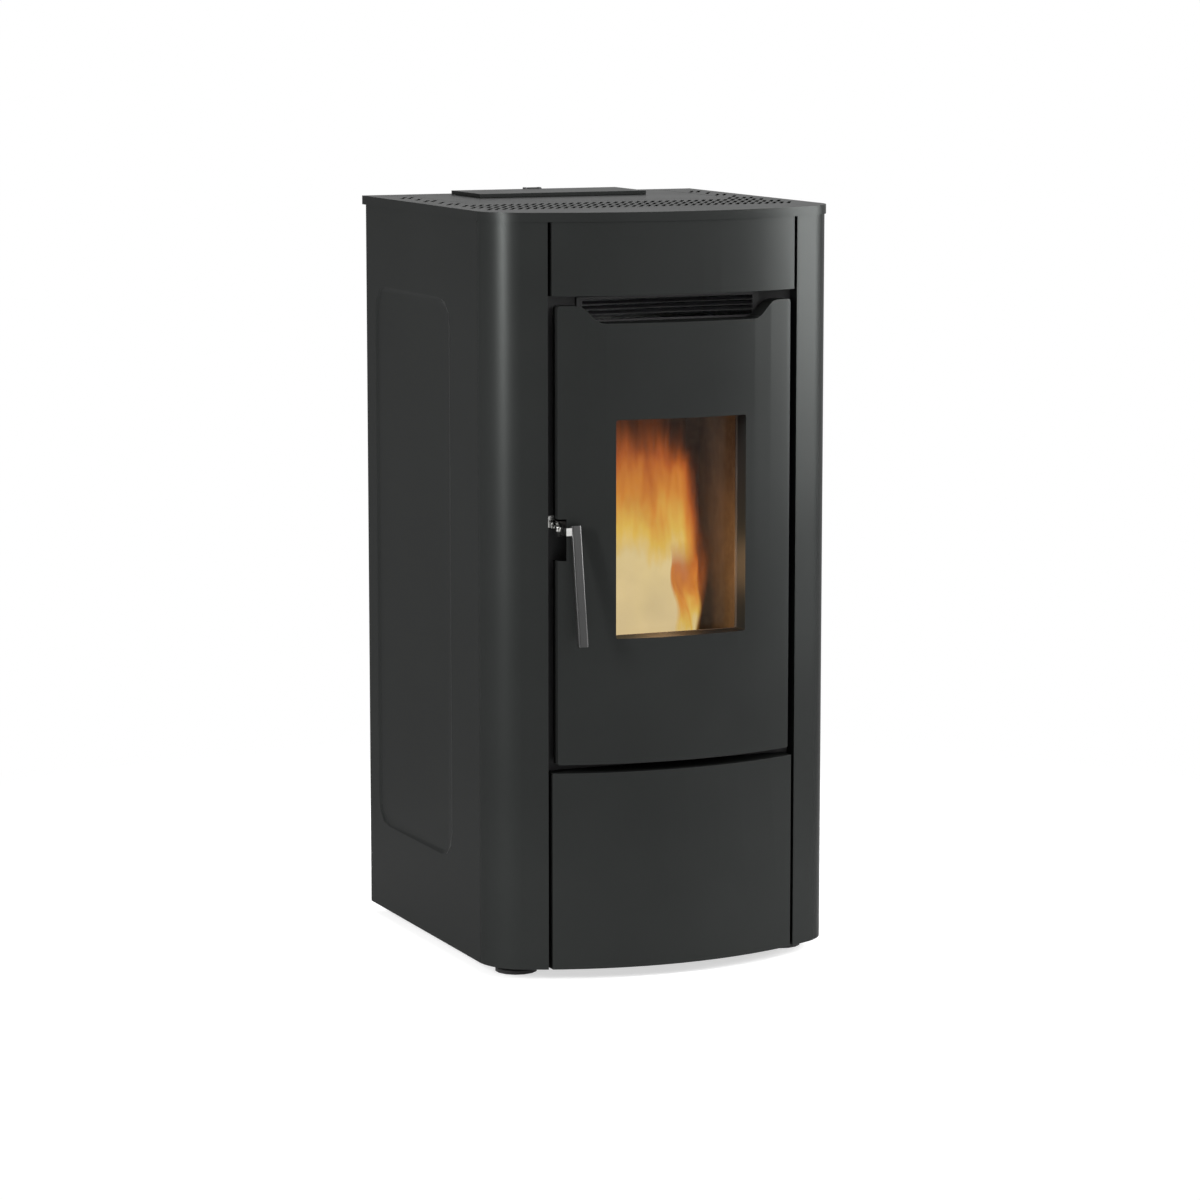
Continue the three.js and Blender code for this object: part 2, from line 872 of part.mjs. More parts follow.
// The black sheet that the door closes on, with its fire opening and the warm-air outlet above it.
function frontFrame() {
  const heights = [floorZ, panelTop];
  const body = casingPrism(2 * (sheet + fit), heights).intersect(
    block([-halfWidth, halfWidth], [frameY, frameBack], heights),
  );
  const through = [frameY - frameSheet, frameBack + frameSheet];
  const fireOpening = roundedRect(
    [-fireOpeningHalf, fireOpeningHalf],
    [fireOpeningBottom, fireOpeningTop],
    fireOpeningRadius,
  );
  return cut(
    body,
    prism(fireOpening, "y", through, 4),
    block([-outletHalf, outletHalf], through, [outletBottom, outletTop]),
  );
}

// Louvre in front of the warm-air outlet: a rim with slanted blades.
function airGrille() {
  const inner = outletHalf - grilleRim;
  const front = frameSeat - grilleDepth;
  const ring = cut(
    block(
      [-outletHalf - grilleRim, outletHalf + grilleRim],
      [front, frameSeat],
      [outletBottom - grilleRim, outletTop],
    ),
    block([-inner, inner], [0, frameY], [outletBottom, outletTop - grilleRim]),
  );
  const pitch = (outletTop - grilleRim - outletBottom) / (bladeCount + 1);
  const blades = Array.from({ length: bladeCount }, (_, index) => {
    const z = outletBottom + pitch * (index + 1);
    const profile = polygon([
      [front, z],
      [front + bladeDepth, z + bladeDepth / 2],
      [front + bladeDepth, z + bladeDepth / 2 + bladeSheet],
      [front, z + bladeSheet],
    ]);
    return prism(profile, "x", [-inner - grilleRim / 2, inner + grilleRim / 2]);
  });
  return join(ring, ...blades);
}

// Hood that leads the warm air over the heat exchanger to the outlet.
function airDuct() {
  const half = boxHalf - plate;
  const bottom = exchangerTop + fit;
  const top = outletTop + 2 * sheet;
  return cut(
    block([-half, half], [boxFront, boxBack], [bottom, top]),
    block([-half + sheet, half - sheet], [0, boxBack - sheet], [bottom - 1, top - sheet]),
  );
}

// A column of slots with pointed ends, as tools that cut through the rear panel.
function ventTools(rows, half, x, bottom) {
  const taper = ventHeight / 2;
  return Array.from({ length: rows }, (_, row) => {
    const z = bottom + row * ventPitch;
    const slot = polygon([
      [x - half, z + taper],
      [x - half + taper, z],
      [x + half - taper, z],
      [x + half, z + taper],
      [x + half - taper, z + ventHeight],
      [x - half + taper, z + ventHeight],
    ]);
    return prism(slot, "y", [rearInner - sheet, casingDepth]);
  });
}

function rearPanel() {
  const half = halfWidth - sheet - fit;
  const through = [rearInner - sheet, casingDepth];
  return cut(
    block([-half, half], [rearInner, rearFace], [floorZ, panelTop]),
    rod("y", [extractorX, flueZ], flueRadius + 2 * fit, through, flueSides),
    rod("y", [airX, airZ], airRadius + fit, through, airSides),
    rod("y", [thermostatX, thermostatZ], thermostatNeck + fit, through, shaftSides),
    block(
      [inletX - inletHalf - fit, inletX + inletHalf + fit],
      through,
      [inletBottom - fit, inletTop + fit],
    ),
    ...ventTools(lowerVentRows, lowerVentHalf, blowerX, lowerVentBottom),
    ...ventTools(upperVentRows, upperVentHalf, 0, casingTop - upperVentDrop),
  );
}

// ---- Firebox ----

// The chute's outline seen from the side, grown by a distance. It starts on the screw's axis or so far behind
// it, and runs on in front of the chute's end.
function chuteOutline(grow, startBack) {
  const along = chuteDrop.clone().normalize();
  const across = new THREE.Vector2(-along.y, along.x);
  const half = chuteHalf + grow;
  const start = augerHigh.clone().addScaledVector(along, -startBack);
  const end = start.clone().addScaledVector(along, (chuteEndY - start.x) / along.x + 3 * chuteHalf);
  const corners = [
    start.clone().addScaledVector(across, half),
    end.clone().addScaledVector(across, half),
    end.clone().addScaledVector(across, -half),
    start.clone().addScaledVector(across, -half),
  ];
  return polygon(corners.map((point) => [point.x, point.y]));
}

function chuteBody(grow, startBack = 0, front = chuteEndY) {
  const half = chuteHalf + grow;
  const body = prism(chuteOutline(grow, startBack), "x", [-half, half]);
  return body.intersect(block([-half, half], [front, casingDepth], [0, plateTop]));
}

function airPort(ys) {
  return block([airX - airPortHalf, airX + airPortHalf], ys, [airZ - airPortHalf, airZ + airPortHalf]);
}

function firebox() {
  const back = [boxBack - 2 * plate, boxBack + plate];
  const inner = boxHalf - plate;
  const shell = cut(
    block([-boxHalf, boxHalf], [boxFront, boxBack], [boxBottom, boxTop]),
    block([-inner, inner], [0, boxBack - plate], [boxBottom + plate, boxTop - plate]),
  );
  return cut(
    shell,
    chuteBody(collarWall + fit),
    rod("y", [0, igniterZ], igniterRadius + fit, back, shaftSides),
    rod("y", [airX, airZ], airRadius - 1, back, airSides),
    block([inner - plate, boxHalf + plate], [smokeHoleFront, smokeHoleBack], smokeHole),
  );
}

// Cast back of the fire, with upright ribs and the ports for chute, igniter and air.
function fireBack() {
  const half = linerInner - fit;
  const slab = block([-half, half], [fireBackFront, boxBack - plate - fit], [boxBottom + plate + fit, linerTop]);
  const count = Math.floor((half - ribPitch / 2) / ribPitch);
  const ribs = Array.from({ length: 2 * count + 1 }, (_, index) => {
    const x = (index - count) * ribPitch;
    const profile = polygon([
      [x - ribFoot / 2, fireBackFront + 1],
      [x - ribDepth / 2, fireBackFront - ribDepth],
      [x + ribDepth / 2, fireBackFront - ribDepth],
      [x + ribFoot / 2, fireBackFront + 1],
    ]);
    return prism(profile, "z", [holderTop + ribStart, linerTop - ribMargin]);
  });
  return cut(
    join(slab, ...ribs),
    chuteBody(collarWall + fit, 0, fireBackFront - 2 * ribDepth),
    rod("y", [0, igniterZ], igniterRadius + igniterPlay, [holderFront, boxBack], shaftSides),
    airPort([holderFront, boxBack]),
  );
}

function sideLiner(side) {
  const xs = side < 0 ? [-linerInner - liner, -linerInner] : [linerInner, linerInner + liner];
  return block(xs, [boxFront + linerGap, boxBack - plate - fit], [boxBottom + plate + fit, linerTop]);
}

// Baffle that rests on the liners and turns the flames forward.
function deflector() {
  const back = boxBack - plate - fit;
  const bottom = linerTop + fit;
  const half = boxHalf - plate - fit;
  const bend = deflectorFront + deflectorBend;
  const profile = polygon([
    [back, bottom],
    [back, bottom + deflectorSheet],
    [bend, bottom + deflectorSheet],
    [deflectorFront + deflectorSheet / 2, bottom + deflectorRise],
    [deflectorFront, bottom + deflectorRise - deflectorSheet],
    [bend, bottom],
  ]);
  return prism(profile, "x", [-half, half]);
}

// Hollow bench that carries the pot and leads the air to it.
function holder() {
  const half = linerInner - fit;
  const back = fireBackFront - fit;
  return cut(
    block([-half, half], [holderFront, back], [holderBottom, holderTop]),
    block(
      [-half + plate, half - plate],
      [holderFront + plate, back - plate],
      [holderBottom + plate, holderTop - plate],
    ),
    block(
      [-potHalf - fit, potHalf + fit],
      [potFront - fit, potBack + fit],
      [holderTop - 2 * plate, plateTop],
    ),
    block(
      [-potHalf + potWall, potHalf - potWall],
      [potFront + potWall, potBack - potWall],
      [0, holderBottom + 2 * plate],
    ),
    airPort([back - 2 * plate, boxBack]),
    rod("y", [0, igniterZ], igniterRadius + fit, [potBack, boxBack], shaftSides),
  );
}

function pot() {
  const rimZ = holderTop + fit;
  const middle = (potFront + potBack) / 2;
  const body = join(
    block([-potHalf, potHalf], [potFront, potBack], [potBottom, potTop]),
    block(
      [-potHalf - potRim, potHalf + potRim],
      [potFront - potRim, potBack + potRim],
      [rimZ, rimZ + potRimSheet],
    ),
  );
  const hollow = block(
    [-potHalf + potWall, potHalf - potWall],
    [potFront + potWall, potBack - potWall],
    [potBottom + potWall, plateTop],
  );
  const places = [-potHolePitch, 0, potHolePitch];
  const floorHoles = places.flatMap((x) =>
    places.map((y) => rod("z", [x, middle + y], potHole, [potBottom - 1, potBottom + potWall + 1], 6)),
  );
  const sideHoles = places.map((x) =>
    rod("y", [x, (rimZ + potTop) / 2 + potHole], potSideHole, [potFront - potRim, potBack + potRim], 6),
  );
  const igniterHole = rod(
    "y",
    [0, igniterZ],
    igniterRadius + igniterPlay,
    [potBack - 2 * potWall, potBack + 1],
    shaftSides,
  );
  return cut(body, hollow, igniterHole, ...floorHoles, ...sideHoles);
}

function ashPan() {
  const half = linerInner - panPlay;
  const [front, back] = [boxFront + panFront, fireBackFront - panPlay / 2];
  const floor = boxBottom + plate + fit;
  const top = floor + panHeight;
  const tray = cut(
    block([-half, half], [front, back], [floor, top]),
    block([-half + panSheet, half - panSheet], [front + panSheet, back - panSheet], [floor + panSheet, plateTop]),
  );
  return tray.add(block([-panLipHalf, panLipHalf], [front - panLip, front + panSheet], [top - panSheet, top]));
}

function igniter() {
  const start = boxBack + fit;
  const centre = [0, igniterZ];
  return join(
    rod("y", centre, igniterRadius, [potBack + 1, start + igniterLength], shaftSides),
    rod("y", centre, igniterFlange, [start, start + plate], shaftSides),
    rod("y", centre, igniterCollar, [start, start + igniterLength / 2], shaftSides),
  );
}

// Heat exchanger above the firebox: tubes from front to back between two end plates.
function exchanger() {
  const half = boxHalf - plate;
  const heights = [boxTop + fit, exchangerTop];
  const centre = (heights[0] + heights[1]) / 2;
  const count = Math.floor((half - tubeRadius - tubeMargin) / tubePitch);
  const places = Array.from({ length: 2 * count + 1 }, (_, index) => [(index - count) * tubePitch, centre]);
  const tubes = places.map((place) => rod("y", place, tubeRadius, [boxFront, boxBack], 10));
  const bores = places.map((place) => rod("y", place, tubeRadius - tubeSheet, [0, casingDepth], 10));
  const ends = [boxFront, boxBack - plate].map((y) => block([-half, half], [y, y + plate], heights));
  const web = block([-half, half], [boxFront, boxBack], [heights[0], heights[0] + tubeSheet]);
  return cut(join(...ends, web, ...tubes), ...bores);
}

// ---- Pellet feed ----

// Moves a geometry made about +Z onto the screw's axis, its lower end at the origin.
function onAuger(geometry) {
  return solid(geometry.rotateX(-augerTilt).translate(0, augerLow.x, augerLow.y));
}

function augerRod(radius, [from, to], sides = augerSides) {
  const bar = new THREE.CylinderGeometry(radius, radius, to - from, sides).rotateX(Math.PI / 2);
  return onAuger(bar.translate(0, 0, (from + to) / 2));
}

function augerBlock(half, [from, to]) {
  const box = new THREE.BoxGeometry(2 * half, 2 * half, to - from);
  return onAuger(box.translate(0, 0, (from + to) / 2));
}

// Tube of the screw: the hopper's collar on its lower end, a closed top end with the shaft's bush.
function augerTube() {
  const outer = augerBore + tubeWall;
  const length = augerLength + tubeBeyond;
  const end = join(
    augerRod(outer, [length - endPlate, length]),
    augerRod(shaftRadius + bushWall, [length - endPlate, length + bushLength], shaftSides),
  );
  const bushRadius = boreRadius(shaftRadius + turning, shaftSides);
  const bushBore = augerRod(bushRadius, [0, length + bushLength - endPlate], shaftSides);
  const collar = block(
    [-neckHalf - collarWall, neckHalf + collarWall],
    [neckFront - collarWall, neckBack + collarWall],
    [augerLow.y, neckBottom - fit],
  );
  const collarSpace = block([-neckHalf, neckHalf], [neckFront, neckBack], [augerLow.y, plateTop]);
  const aboveAxis = collarSpace.subtract(augerRod(augerBore - 1, [-augerLength, length]));
  const bore = augerRod(augerBore, [-1, length]);
  const below = augerRod(3 * outer, [-augerLength, 0], 8);
  const tube = join(augerRod(outer, [0, length]), collar);
  return join(cut(tube, bore, aboveAxis, chuteBody(0), below), cut(end, bushBore));
}

function chute() {
  const clear = augerRod(augerBore + tubeWall + fit, [-augerBore, augerLength + 2 * augerBore]);
  return cut(chuteBody(collarWall), chuteBody(0, chuteHalf), clear);
}

// The screw: a flight of constant pitch on its shaft, drawn as one skin. Each step round the axis has four
// points of the flight, and the shaft's skin runs from the top of one turn to the foot of the next.
function augerScrew() {
  const turn = flightSteps;
  const flightEnd = augerLength - flightShort;
  const steps = Math.round(((flightEnd - flightStart) / flightPitch) * turn);
  const ends = [-motorShaft, augerLength + tubeBeyond + bushLength - endPlate - fit];
  const points = [];
  const around = (radius, step, height) => {
    const angle = (step / turn) * 2 * Math.PI;
    points.push(radius * Math.cos(angle), radius * Math.sin(angle), height);
  };
  for (let step = 0; step <= steps; step += 1) {
    const height = flightStart + (step / turn) * flightPitch;
    around(shaftRadius, step, height);
    around(flightRadius, step, height);
    around(flightRadius, step, height + flightThick);
    around(shaftRadius, step, height + flightThick);
  }
  ends.forEach((height) => {
    for (let step = 0; step < turn; step += 1) {
      around(shaftRadius, step, height);
    }
    around(0, 0, height);
  });
  const foot = (step) => 4 * step;
  const crest = (step) => 4 * step + 3;
  const lowRing = (step) => 4 * (steps + 1) + (step % turn);
  const highRing = (step) => 4 * (steps + 1) + turn + 1 + (step % turn);
  const faces = [];
  // A flat face with any number of corners, as a fan from its first one.
  const face = (first, ...rest) => {
    for (let corner = 1; corner < rest.length; corner += 1) {
      faces.push(first, rest[corner - 1], rest[corner]);
    }
  };
  for (let step = 0; step < steps; step += 1) {
    const [a, b] = [foot(step), foot(step + 1)];
    face(a, b, b + 1, a + 1);
    face(a + 1, b + 1, b + 2, a + 2);
    face(a + 3, a + 2, b + 2, b + 3);
  }
  face(foot(0), foot(0) + 1, foot(0) + 2, crest(0));
  face(foot(steps), crest(steps), foot(steps) + 2, foot(steps) + 1);
  for (let step = 0; step < turn - 1; step += 1) {
    face(lowRing(step), lowRing(step + 1), foot(step + 1), foot(step));
  }
  face(lowRing(turn - 1), lowRing(0), foot(0), crest(0), foot(turn), foot(turn - 1));
  for (let step = 0; step < steps - turn; step += 1) {
    face(crest(step), crest(step + 1), foot(step + turn + 1), foot(step + turn));
  }
  const last = steps - turn;
  face(crest(last + 1), highRing(last + 1), highRing(last), crest(steps), foot(steps), crest(last));
  for (let step = last + 1; step < steps; step += 1) {
    face(crest(step), crest(step + 1), highRing(step + 1), highRing(step));
  }
  for (let step = 0; step < turn; step += 1) {
    face(lowRing(0) + turn, lowRing(step + 1), lowRing(step));
    face(highRing(0) + turn, highRing(step), highRing(step + 1));
  }
  const screw = new THREE.BufferGeometry();
  screw.setAttribute("position", new THREE.Float32BufferAttribute(points, 3));
  screw.setIndex(faces);
  return onAuger(screw);
}

function gearmotor() {
  const flange = -fit - gearFlange;
  const box = flange - gearLength;
  const can = box - gearCanLength;
  return cut(
    join(
      augerBlock(augerBore + 2 * tubeWall, [flange, -fit]),
      augerBlock(gearHalf, [box, flange + 1]),
      augerRod(gearCanRadius, [can, box + 1], 16),
      augerRod(gearBoss, [can - gearFlange, can + 1], shaftSides),
    ),
    augerRod(boreRadius(shaftRadius + turning, shaftSides), [-motorShaft - 1, 1], shaftSides),
  );
}

// The hopper's form moved in by its wall: a bin over a slope on all four sides, down to the neck.
function hopperForm(inset, top, bottom) {
  const side = polygon([
    [hopperFront + inset, top],
    [hopperFront + inset, hopperShoulder],
    [neckFront + inset, neckTop],
    [neckFront + inset, bottom],
    [neckBack - inset, bottom],
    [neckBack - inset, neckTop],
    [hopperBack - inset, hopperShoulder],
    [hopperBack - inset, top],
  ]);
  const sideShoulder = hopperShoulder + hopperSideSlope;
  const front = polygon([
    [-hopperHalf + inset, top],
    [-hopperHalf + inset, sideShoulder],
    [-neckHalf + inset, neckTop],
    [-neckHalf + inset, bottom],
    [neckHalf - inset, bottom],
    [neckHalf - inset, neckTop],
    [hopperHalf - inset, sideShoulder],
    [hopperHalf - inset, top],
  ]);
  const bin = prism(side, "x", [-hopperHalf, hopperHalf]);
  return bin.intersect(prism(front, "y", [hopperFront, hopperBack]));
}

function hopper() {
  const top = plateUnder - fit;
  const rimHalf = coverHalf + hopperRim;
  const rim = block([-rimHalf, rimHalf], [coverFront - hopperRim, hopperBack + sheet], [top - sheet, top]);
  return cut(
    join(hopperForm(0, top, neckBottom), rim),
    hopperForm(sheet, top + 1, neckBottom - 1),
  );
}

// Guard in the hopper: a steel plate pierced with long gaps, which keeps hands off the screw.
function hopperGrid() {
  const half = hopperHalf - sheet - fit;
  const [front, back] = [hopperFront + sheet + fit, hopperBack - sheet - fit];
  const pitch = (2 * half - gridBar) / gridColumns;
  const gaps = Array.from({ length: gridColumns }, (_, column) => {
    const x = gridBar - half + column * pitch;
    return block([x, x + pitch - gridBar], [front + gridBar, back - gridBar], [0, plateTop]);
  });
  return cut(block([-half, half], [front, back], [gridZ, gridZ + gridSheet]), ...gaps);
}

// ---- Hopper lid ----

function lid() {
  const hinge = [lidHingeY, lidHingeZ];
  const width = [-lidKnuckleHalf, lidKnuckleHalf];
  const shell = cut(
    block([-lidHalf, lidHalf], [lidFront, lidBack], [plateTop + fit, lidTop]),
    block(
      [-lidHalf + lidSheet, lidHalf - lidSheet],
      [lidFront + lidSheet, lidBack + lidSheet],
      [plateTop, lidTop - lidSheet],
    ),
  );
  const tongue = block(width, [lidBack - lidSheet, lidHingeY], [lidTop - lidSheet, lidTop]);
  const knuckle = rod("x", hinge, lidKnuckle, width, shaftSides);
  const bore = rod("x", hinge, boreRadius(lidPin + turning, shaftSides), [-lidHalf, lidHalf], shaftSides);
  return cut(join(shell, tongue, knuckle), bore);
}

// Bracket on the top plate with two ears and the pin that the lid turns on.
function lidBracket() {
  const hinge = [lidHingeY, lidHingeZ];
  const base = plateTop + fit;
  const near = lidKnuckleHalf + lidEarGap;
  const far = near + lidEar;
  const earBack = lidHingeY + 2 * lidKnuckle;
  const ears = [[-far, -near], [near, far]].map((xs) =>
    join(
      block(xs, [lidHingeY, earBack], [base, lidHingeZ + lidKnuckle]),
      rod("x", hinge, lidKnuckle, xs, shaftSides),
    ),
  );
  const foot = block([-far, far], [earBack - lidSheet, earBack + 2 * lidKnuckle], [base, base + lidSheet]);
  return join(foot, rod("x", hinge, lidPin, [-far + 1, far - 1], shaftSides), ...ears);
}

function lidGasket() {
  const ring = block(
    [-mouthHalf - gasketWidth, mouthHalf + gasketWidth],
    [mouthFront - gasketWidth, mouthBack + gasketWidth],
    [plateTop + fit, lidTop - lidSheet - fit],
  );
  return cut(ring, block([-mouthHalf, mouthHalf], [mouthFront, mouthBack], [0, 2 * plateTop]));
}

// ---- Fans ----

// A fan's scroll: its radius grows along the flow, up to the side where the outlet leaves.
function scrollShape(fan, inset, exit, turn) {
  const start = Math.PI / 6;
  const points = Array.from({ length: scrollSteps + 1 }, (_, step) => {
    const share = step / scrollSteps;
    const angle = exit + turn * (start + share * (2 * Math.PI - start));
    const radius = fan.low + (fan.high - fan.low) * share - inset;
    return [fan.y + radius * Math.cos(angle), fan.z + radius * Math.sin(angle)];
  });
  return polygon(points);
}

// The outer faces of a fan's housing, left and right.
function housingSides(fan) {
  const reach = fan.half + wheelGap + sheet;
  return [fan.x - reach, fan.x + reach];
}

// Wheel on its shaft: a disc on the motor's side, a ring on the inlet's side and vanes between them.
function fanWheel(fan, vanes) {
  const [x0, x1] = [fan.x - fan.half, fan.x + fan.half];
  const centre = [fan.y, fan.z];
  const inner = fan.wheel - vanes.depth;
  const ring = cut(
    rod("x", centre, fan.wheel, [x1 - wheelRing, x1], wheelSides),
    rod("x", centre, inner, [x1 - 2 * wheelRing, x1 + wheelRing], wheelSides),
  );
  const blades = Array.from({ length: vanes.count }, (_, index) => {
    const vane = new THREE.BoxGeometry(x1 - x0, vanes.depth, vanes.thick);
    vane.rotateX(vanes.pitch).translate(0, inner + vanes.depth / 2 - 0.5, 0);
    vane.rotateX((index / vanes.count) * 2 * Math.PI);
    return solid(vane.translate(fan.x, fan.y, fan.z));
  });
  return join(
    rod("x", centre, fan.wheel, [x0, x0 + wheelDisc], wheelSides),
    rod("x", centre, wheelHub, [x0, x0 + wheelDisc + wheelBoss], shaftSides),
    rod("x", centre, fanShaft, [housingSides(fan)[0] - shaftDepth, x0 + wheelDisc], shaftSides),
    ring,
    ...blades,
  );
}

function fanMotor(fan) {
  const end = housingSides(fan)[0] - fit;
  const start = end - motorLength;
  const centre = [fan.y, fan.z];
  const foot = motorRadius + motorFoot;
  return cut(
    join(
      rod("x", centre, motorRadius, [start, end], 18),
      rod("x", centre, motorBoss, [start - motorBossLength, start + 1], shaftSides),
      block(
        [end - motorFootSheet, end],
        [fan.y - foot, fan.y + foot],
        [fan.z - motorFootHalf, fan.z + motorFootHalf],
      ),
    ),
    rod("x", centre, boreRadius(fanShaft + turning, shaftSides), [end - shaftDepth - 2, end + 1], shaftSides),
  );
}

function blowerHousing() {
  const xs = housingSides(blower);
  const inside = [xs[0] + sheet, xs[1] - sheet];
  const centre = [blowerY, blowerZ];
  const front = blowerY - blowerHigh;
  const standYs = [blowerY - blowerStandHalf, blowerY + blowerStandHalf];
  const outer = join(
    prism(scrollShape(blower, 0, Math.PI, -1), "x", xs),
    block(xs, [front, front + blowerNeck], [blowerZ, blower.neckTop]),
    block([xs[0], xs[0] + blowerStand], standYs, [floorZ, blowerZ]),
    block([xs[1] - blowerStand, xs[1]], standYs, [floorZ, blowerZ]),
  );
  return cut(
    outer,
    prism(scrollShape(blower, sheet, Math.PI, -1), "x", inside),
    block(inside, [front + sheet, front + blowerNeck - sheet], [blowerZ, blower.neckTop + 1]),
    rod("x", centre, blowerInlet, [xs[1] - 2 * sheet, xs[1] + 1], wheelSides),
    rod("x", centre, shaftHole, [xs[0] - 1, xs[0] + 2 * sheet], shaftSides),
  );
}

function extractorHousing() {
  const xs = housingSides(extractor);
  const inside = [xs[0] + sheet, xs[1] - sheet];
  const centre = [extractorY, extractorZ];
  const bottom = extractorNeckBottom;
  const top = bottom + extractorNeck;
  const outer = join(
    prism(scrollShape(extractor, 0, 1.5 * Math.PI, 1), "x", xs),
    block(xs, [extractorY, extractorNeckEnd], [bottom, top]),
    block(
      [xs[0] - extractorFlange, xs[1] + extractorFlange],
      [extractorNeckEnd - extractorFlangeSheet, extractorNeckEnd],
      [bottom - extractorFlange, top + extractorFlange],
    ),
  );
  return cut(
    outer,
    prism(scrollShape(extractor, sheet, 1.5 * Math.PI, 1), "x", inside),
    block(inside, [extractorY, extractorNeckEnd + 1], [bottom + sheet, top - sheet]),
    rod("x", centre, extractorInlet, [xs[1] - 2 * sheet, xs[1] + 1], 16),
    rod("x", centre, shaftHole, [xs[0] - 1, xs[0] + 2 * sheet], shaftSides),
  );
}

// Box duct down the firebox's right wall, with a foot that runs back to the smoke fan's inlet.
function exhaustDuct() {
  const inner = boxHalf + fit;
  const centre = [extractorY, extractorZ];
  const spigotEnd = housingSides(extractor)[1] + fit;
  const outline = (inset) => {
    const [front, knee] = [ductFront + inset, ductFront + ductDepth - inset];
    const back = extractorY + ductBehind - inset;
    const top = boxTop - ductTopDrop - inset;
    const [low, high] = [extractorZ - ductLow + inset, extractorZ + ductHigh - inset];
    return polygon([[front, top], [front, low], [back, low], [back, high], [knee, high], [knee, top]]);
  };
  return cut(
    join(
      prism(outline(0), "x", [inner, ductOuterX]),
      rod("x", centre, extractorInlet + spigotWall, [spigotEnd, inner + 1], 16),
    ),
    prism(outline(sheet), "x", [inner + sheet, ductOuterX - sheet]),
    rod("x", centre, extractorInlet, [spigotEnd - 1, inner + 2 * sheet], 16),
    block([inner - 1, inner + 2 * sheet], [smokeHoleFront, smokeHoleBack], smokeHole),
  );
}

function flue() {
  const start = extractorNeckEnd + fit;
  const collar = rearFace + fit;
  const centre = [extractorX, flueZ];
  const half = flueRadius + flueFlange;
  return cut(
    join(
      block([extractorX - half, extractorX + half], [start, start + flueFlange], [flueZ - half, flueZ + half]),
      rod("y", centre, flueRadius, [start, flueEnd], flueSides),
      rod("y", centre, flueRadius + flueCollar, [collar, collar + flueWall], flueSides),
    ),
    rod("y", centre, flueRadius - flueWall, [start - 1, flueEnd + 1], flueSides),
  );
}

function airPipe() {
  const start = boxBack + fit;
  const centre = [airX, airZ];
  return cut(
    join(
      rod("y", centre, airRadius, [start, airEnd], airSides),
      rod("y", centre, airRadius + airFlange, [start, start + airFlangeSheet], airSides),
    ),
    rod("y", centre, airRadius - airWall, [start - 1, airEnd + 1], airSides),
  );
}

// ---- Electrics ----

// Control board on four stands, with its transformer, relays, plugs, capacitors and chip.
function board() {
  const face = boardX + boardLift + boardSheet;
  const under = boardX + boardLift + boardSheet / 2;
  const [front, back] = [boardFront, boardFront + boardLength];
  const [bottom, top] = [boardBottom, boardBottom + boardHeight];
  const middle = (bottom + top) / 2;
  const stands = [front + boardMargin, back - boardMargin - boardStand].flatMap((y) =>
    [bottom + boardMargin, top - boardMargin - boardStand].map((z) =>
      block([boardX, under], [y, y + boardStand], [z, z + boardStand]),
    ),
  );
  // A component that stands on the board: its place and size along y and z, and its height.
  const chip = (y, z, width, tall, height) => block([under, face + height], [y, y + width], [z, z + tall]);
  const inner = front + 2 * boardMargin;
  const relays = inner + transformerSize + 2 * boardMargin;
  const components = [
    chip(inner, bottom + 2 * boardMargin, transformerSize, transformerSize, transformerHeight),
    chip(inner, middle + boardMargin, chipSize, chipSize, chipHeight),
    rod("x", [relays + capRadius, middle], capRadius, [under, face + transformerHeight], shaftSides),
    rod("x", [relays + 4 * capRadius, middle], capRadius, [under, face + relayHeight], shaftSides),
  ];
  for (let index = 0; index < terminalCount; index += 1) {
    const y = relays + index * terminalPitch;
    components.push(chip(y, bottom + 2 * boardMargin, terminalWidth, relayTall, relayHeight));
    components.push(chip(y, top - 3 * boardMargin, terminalWidth, 2 * boardMargin, terminalHeight));
  }
  return join(block([boardX + boardLift, face], [front, back], [bottom, top]), ...stands, ...components);
}

function pressureSwitch() {
  const centre = [boardFront + switchForward, boardBottom - switchDrop];
  const flat = switchDepth / 6;
  const nipples = [-1, 1].map((side) => {
    const place = [centre[0], centre[1] + side * 4 * switchNipple];
    return rod("x", place, switchNipple, [boardX + switchDepth - 1, boardX + switchDepth * 1.6], 8);
  });
  return join(
    rod("x", centre, switchRadius, [boardX + flat, boardX + switchDepth / 2], 16),
    rod("x", centre, switchRadius * 0.8, [boardX, boardX + switchDepth], 16),
    block(
      [boardX, boardX + flat],
      [centre[0] - switchFootHalf, centre[0] + switchFootHalf],
      [centre[1] - switchFootHalf / 3, centre[1] + switchFootHalf / 3],
    ),
    ...nipples,
  );
}

function thermostatBody() {
  const centre = [thermostatX, thermostatZ];
  return join(
    rod("y", centre, thermostatRadius, [rearInner - thermostatDepth, rearInner - fit], 14),
    rod("y", centre, thermostatNeck, [rearInner - sheet, rearFace + thermostatNeckLength], 10),
  );
}

function thermostatCap() {
  const centre = [thermostatX, thermostatZ];
  const start = rearFace + fit;
  return cut(
    join(
      rod("y", centre, thermostatCapRadius, [start, start + plateSheet], 16),
      rod("y", centre, thermostatCapRadius - sheet, [start, start + thermostatCapLength], 10),
    ),
    rod("y", centre, thermostatNeck + fit, [start - 1, start + thermostatNeckLength], shaftSides),
  );
}

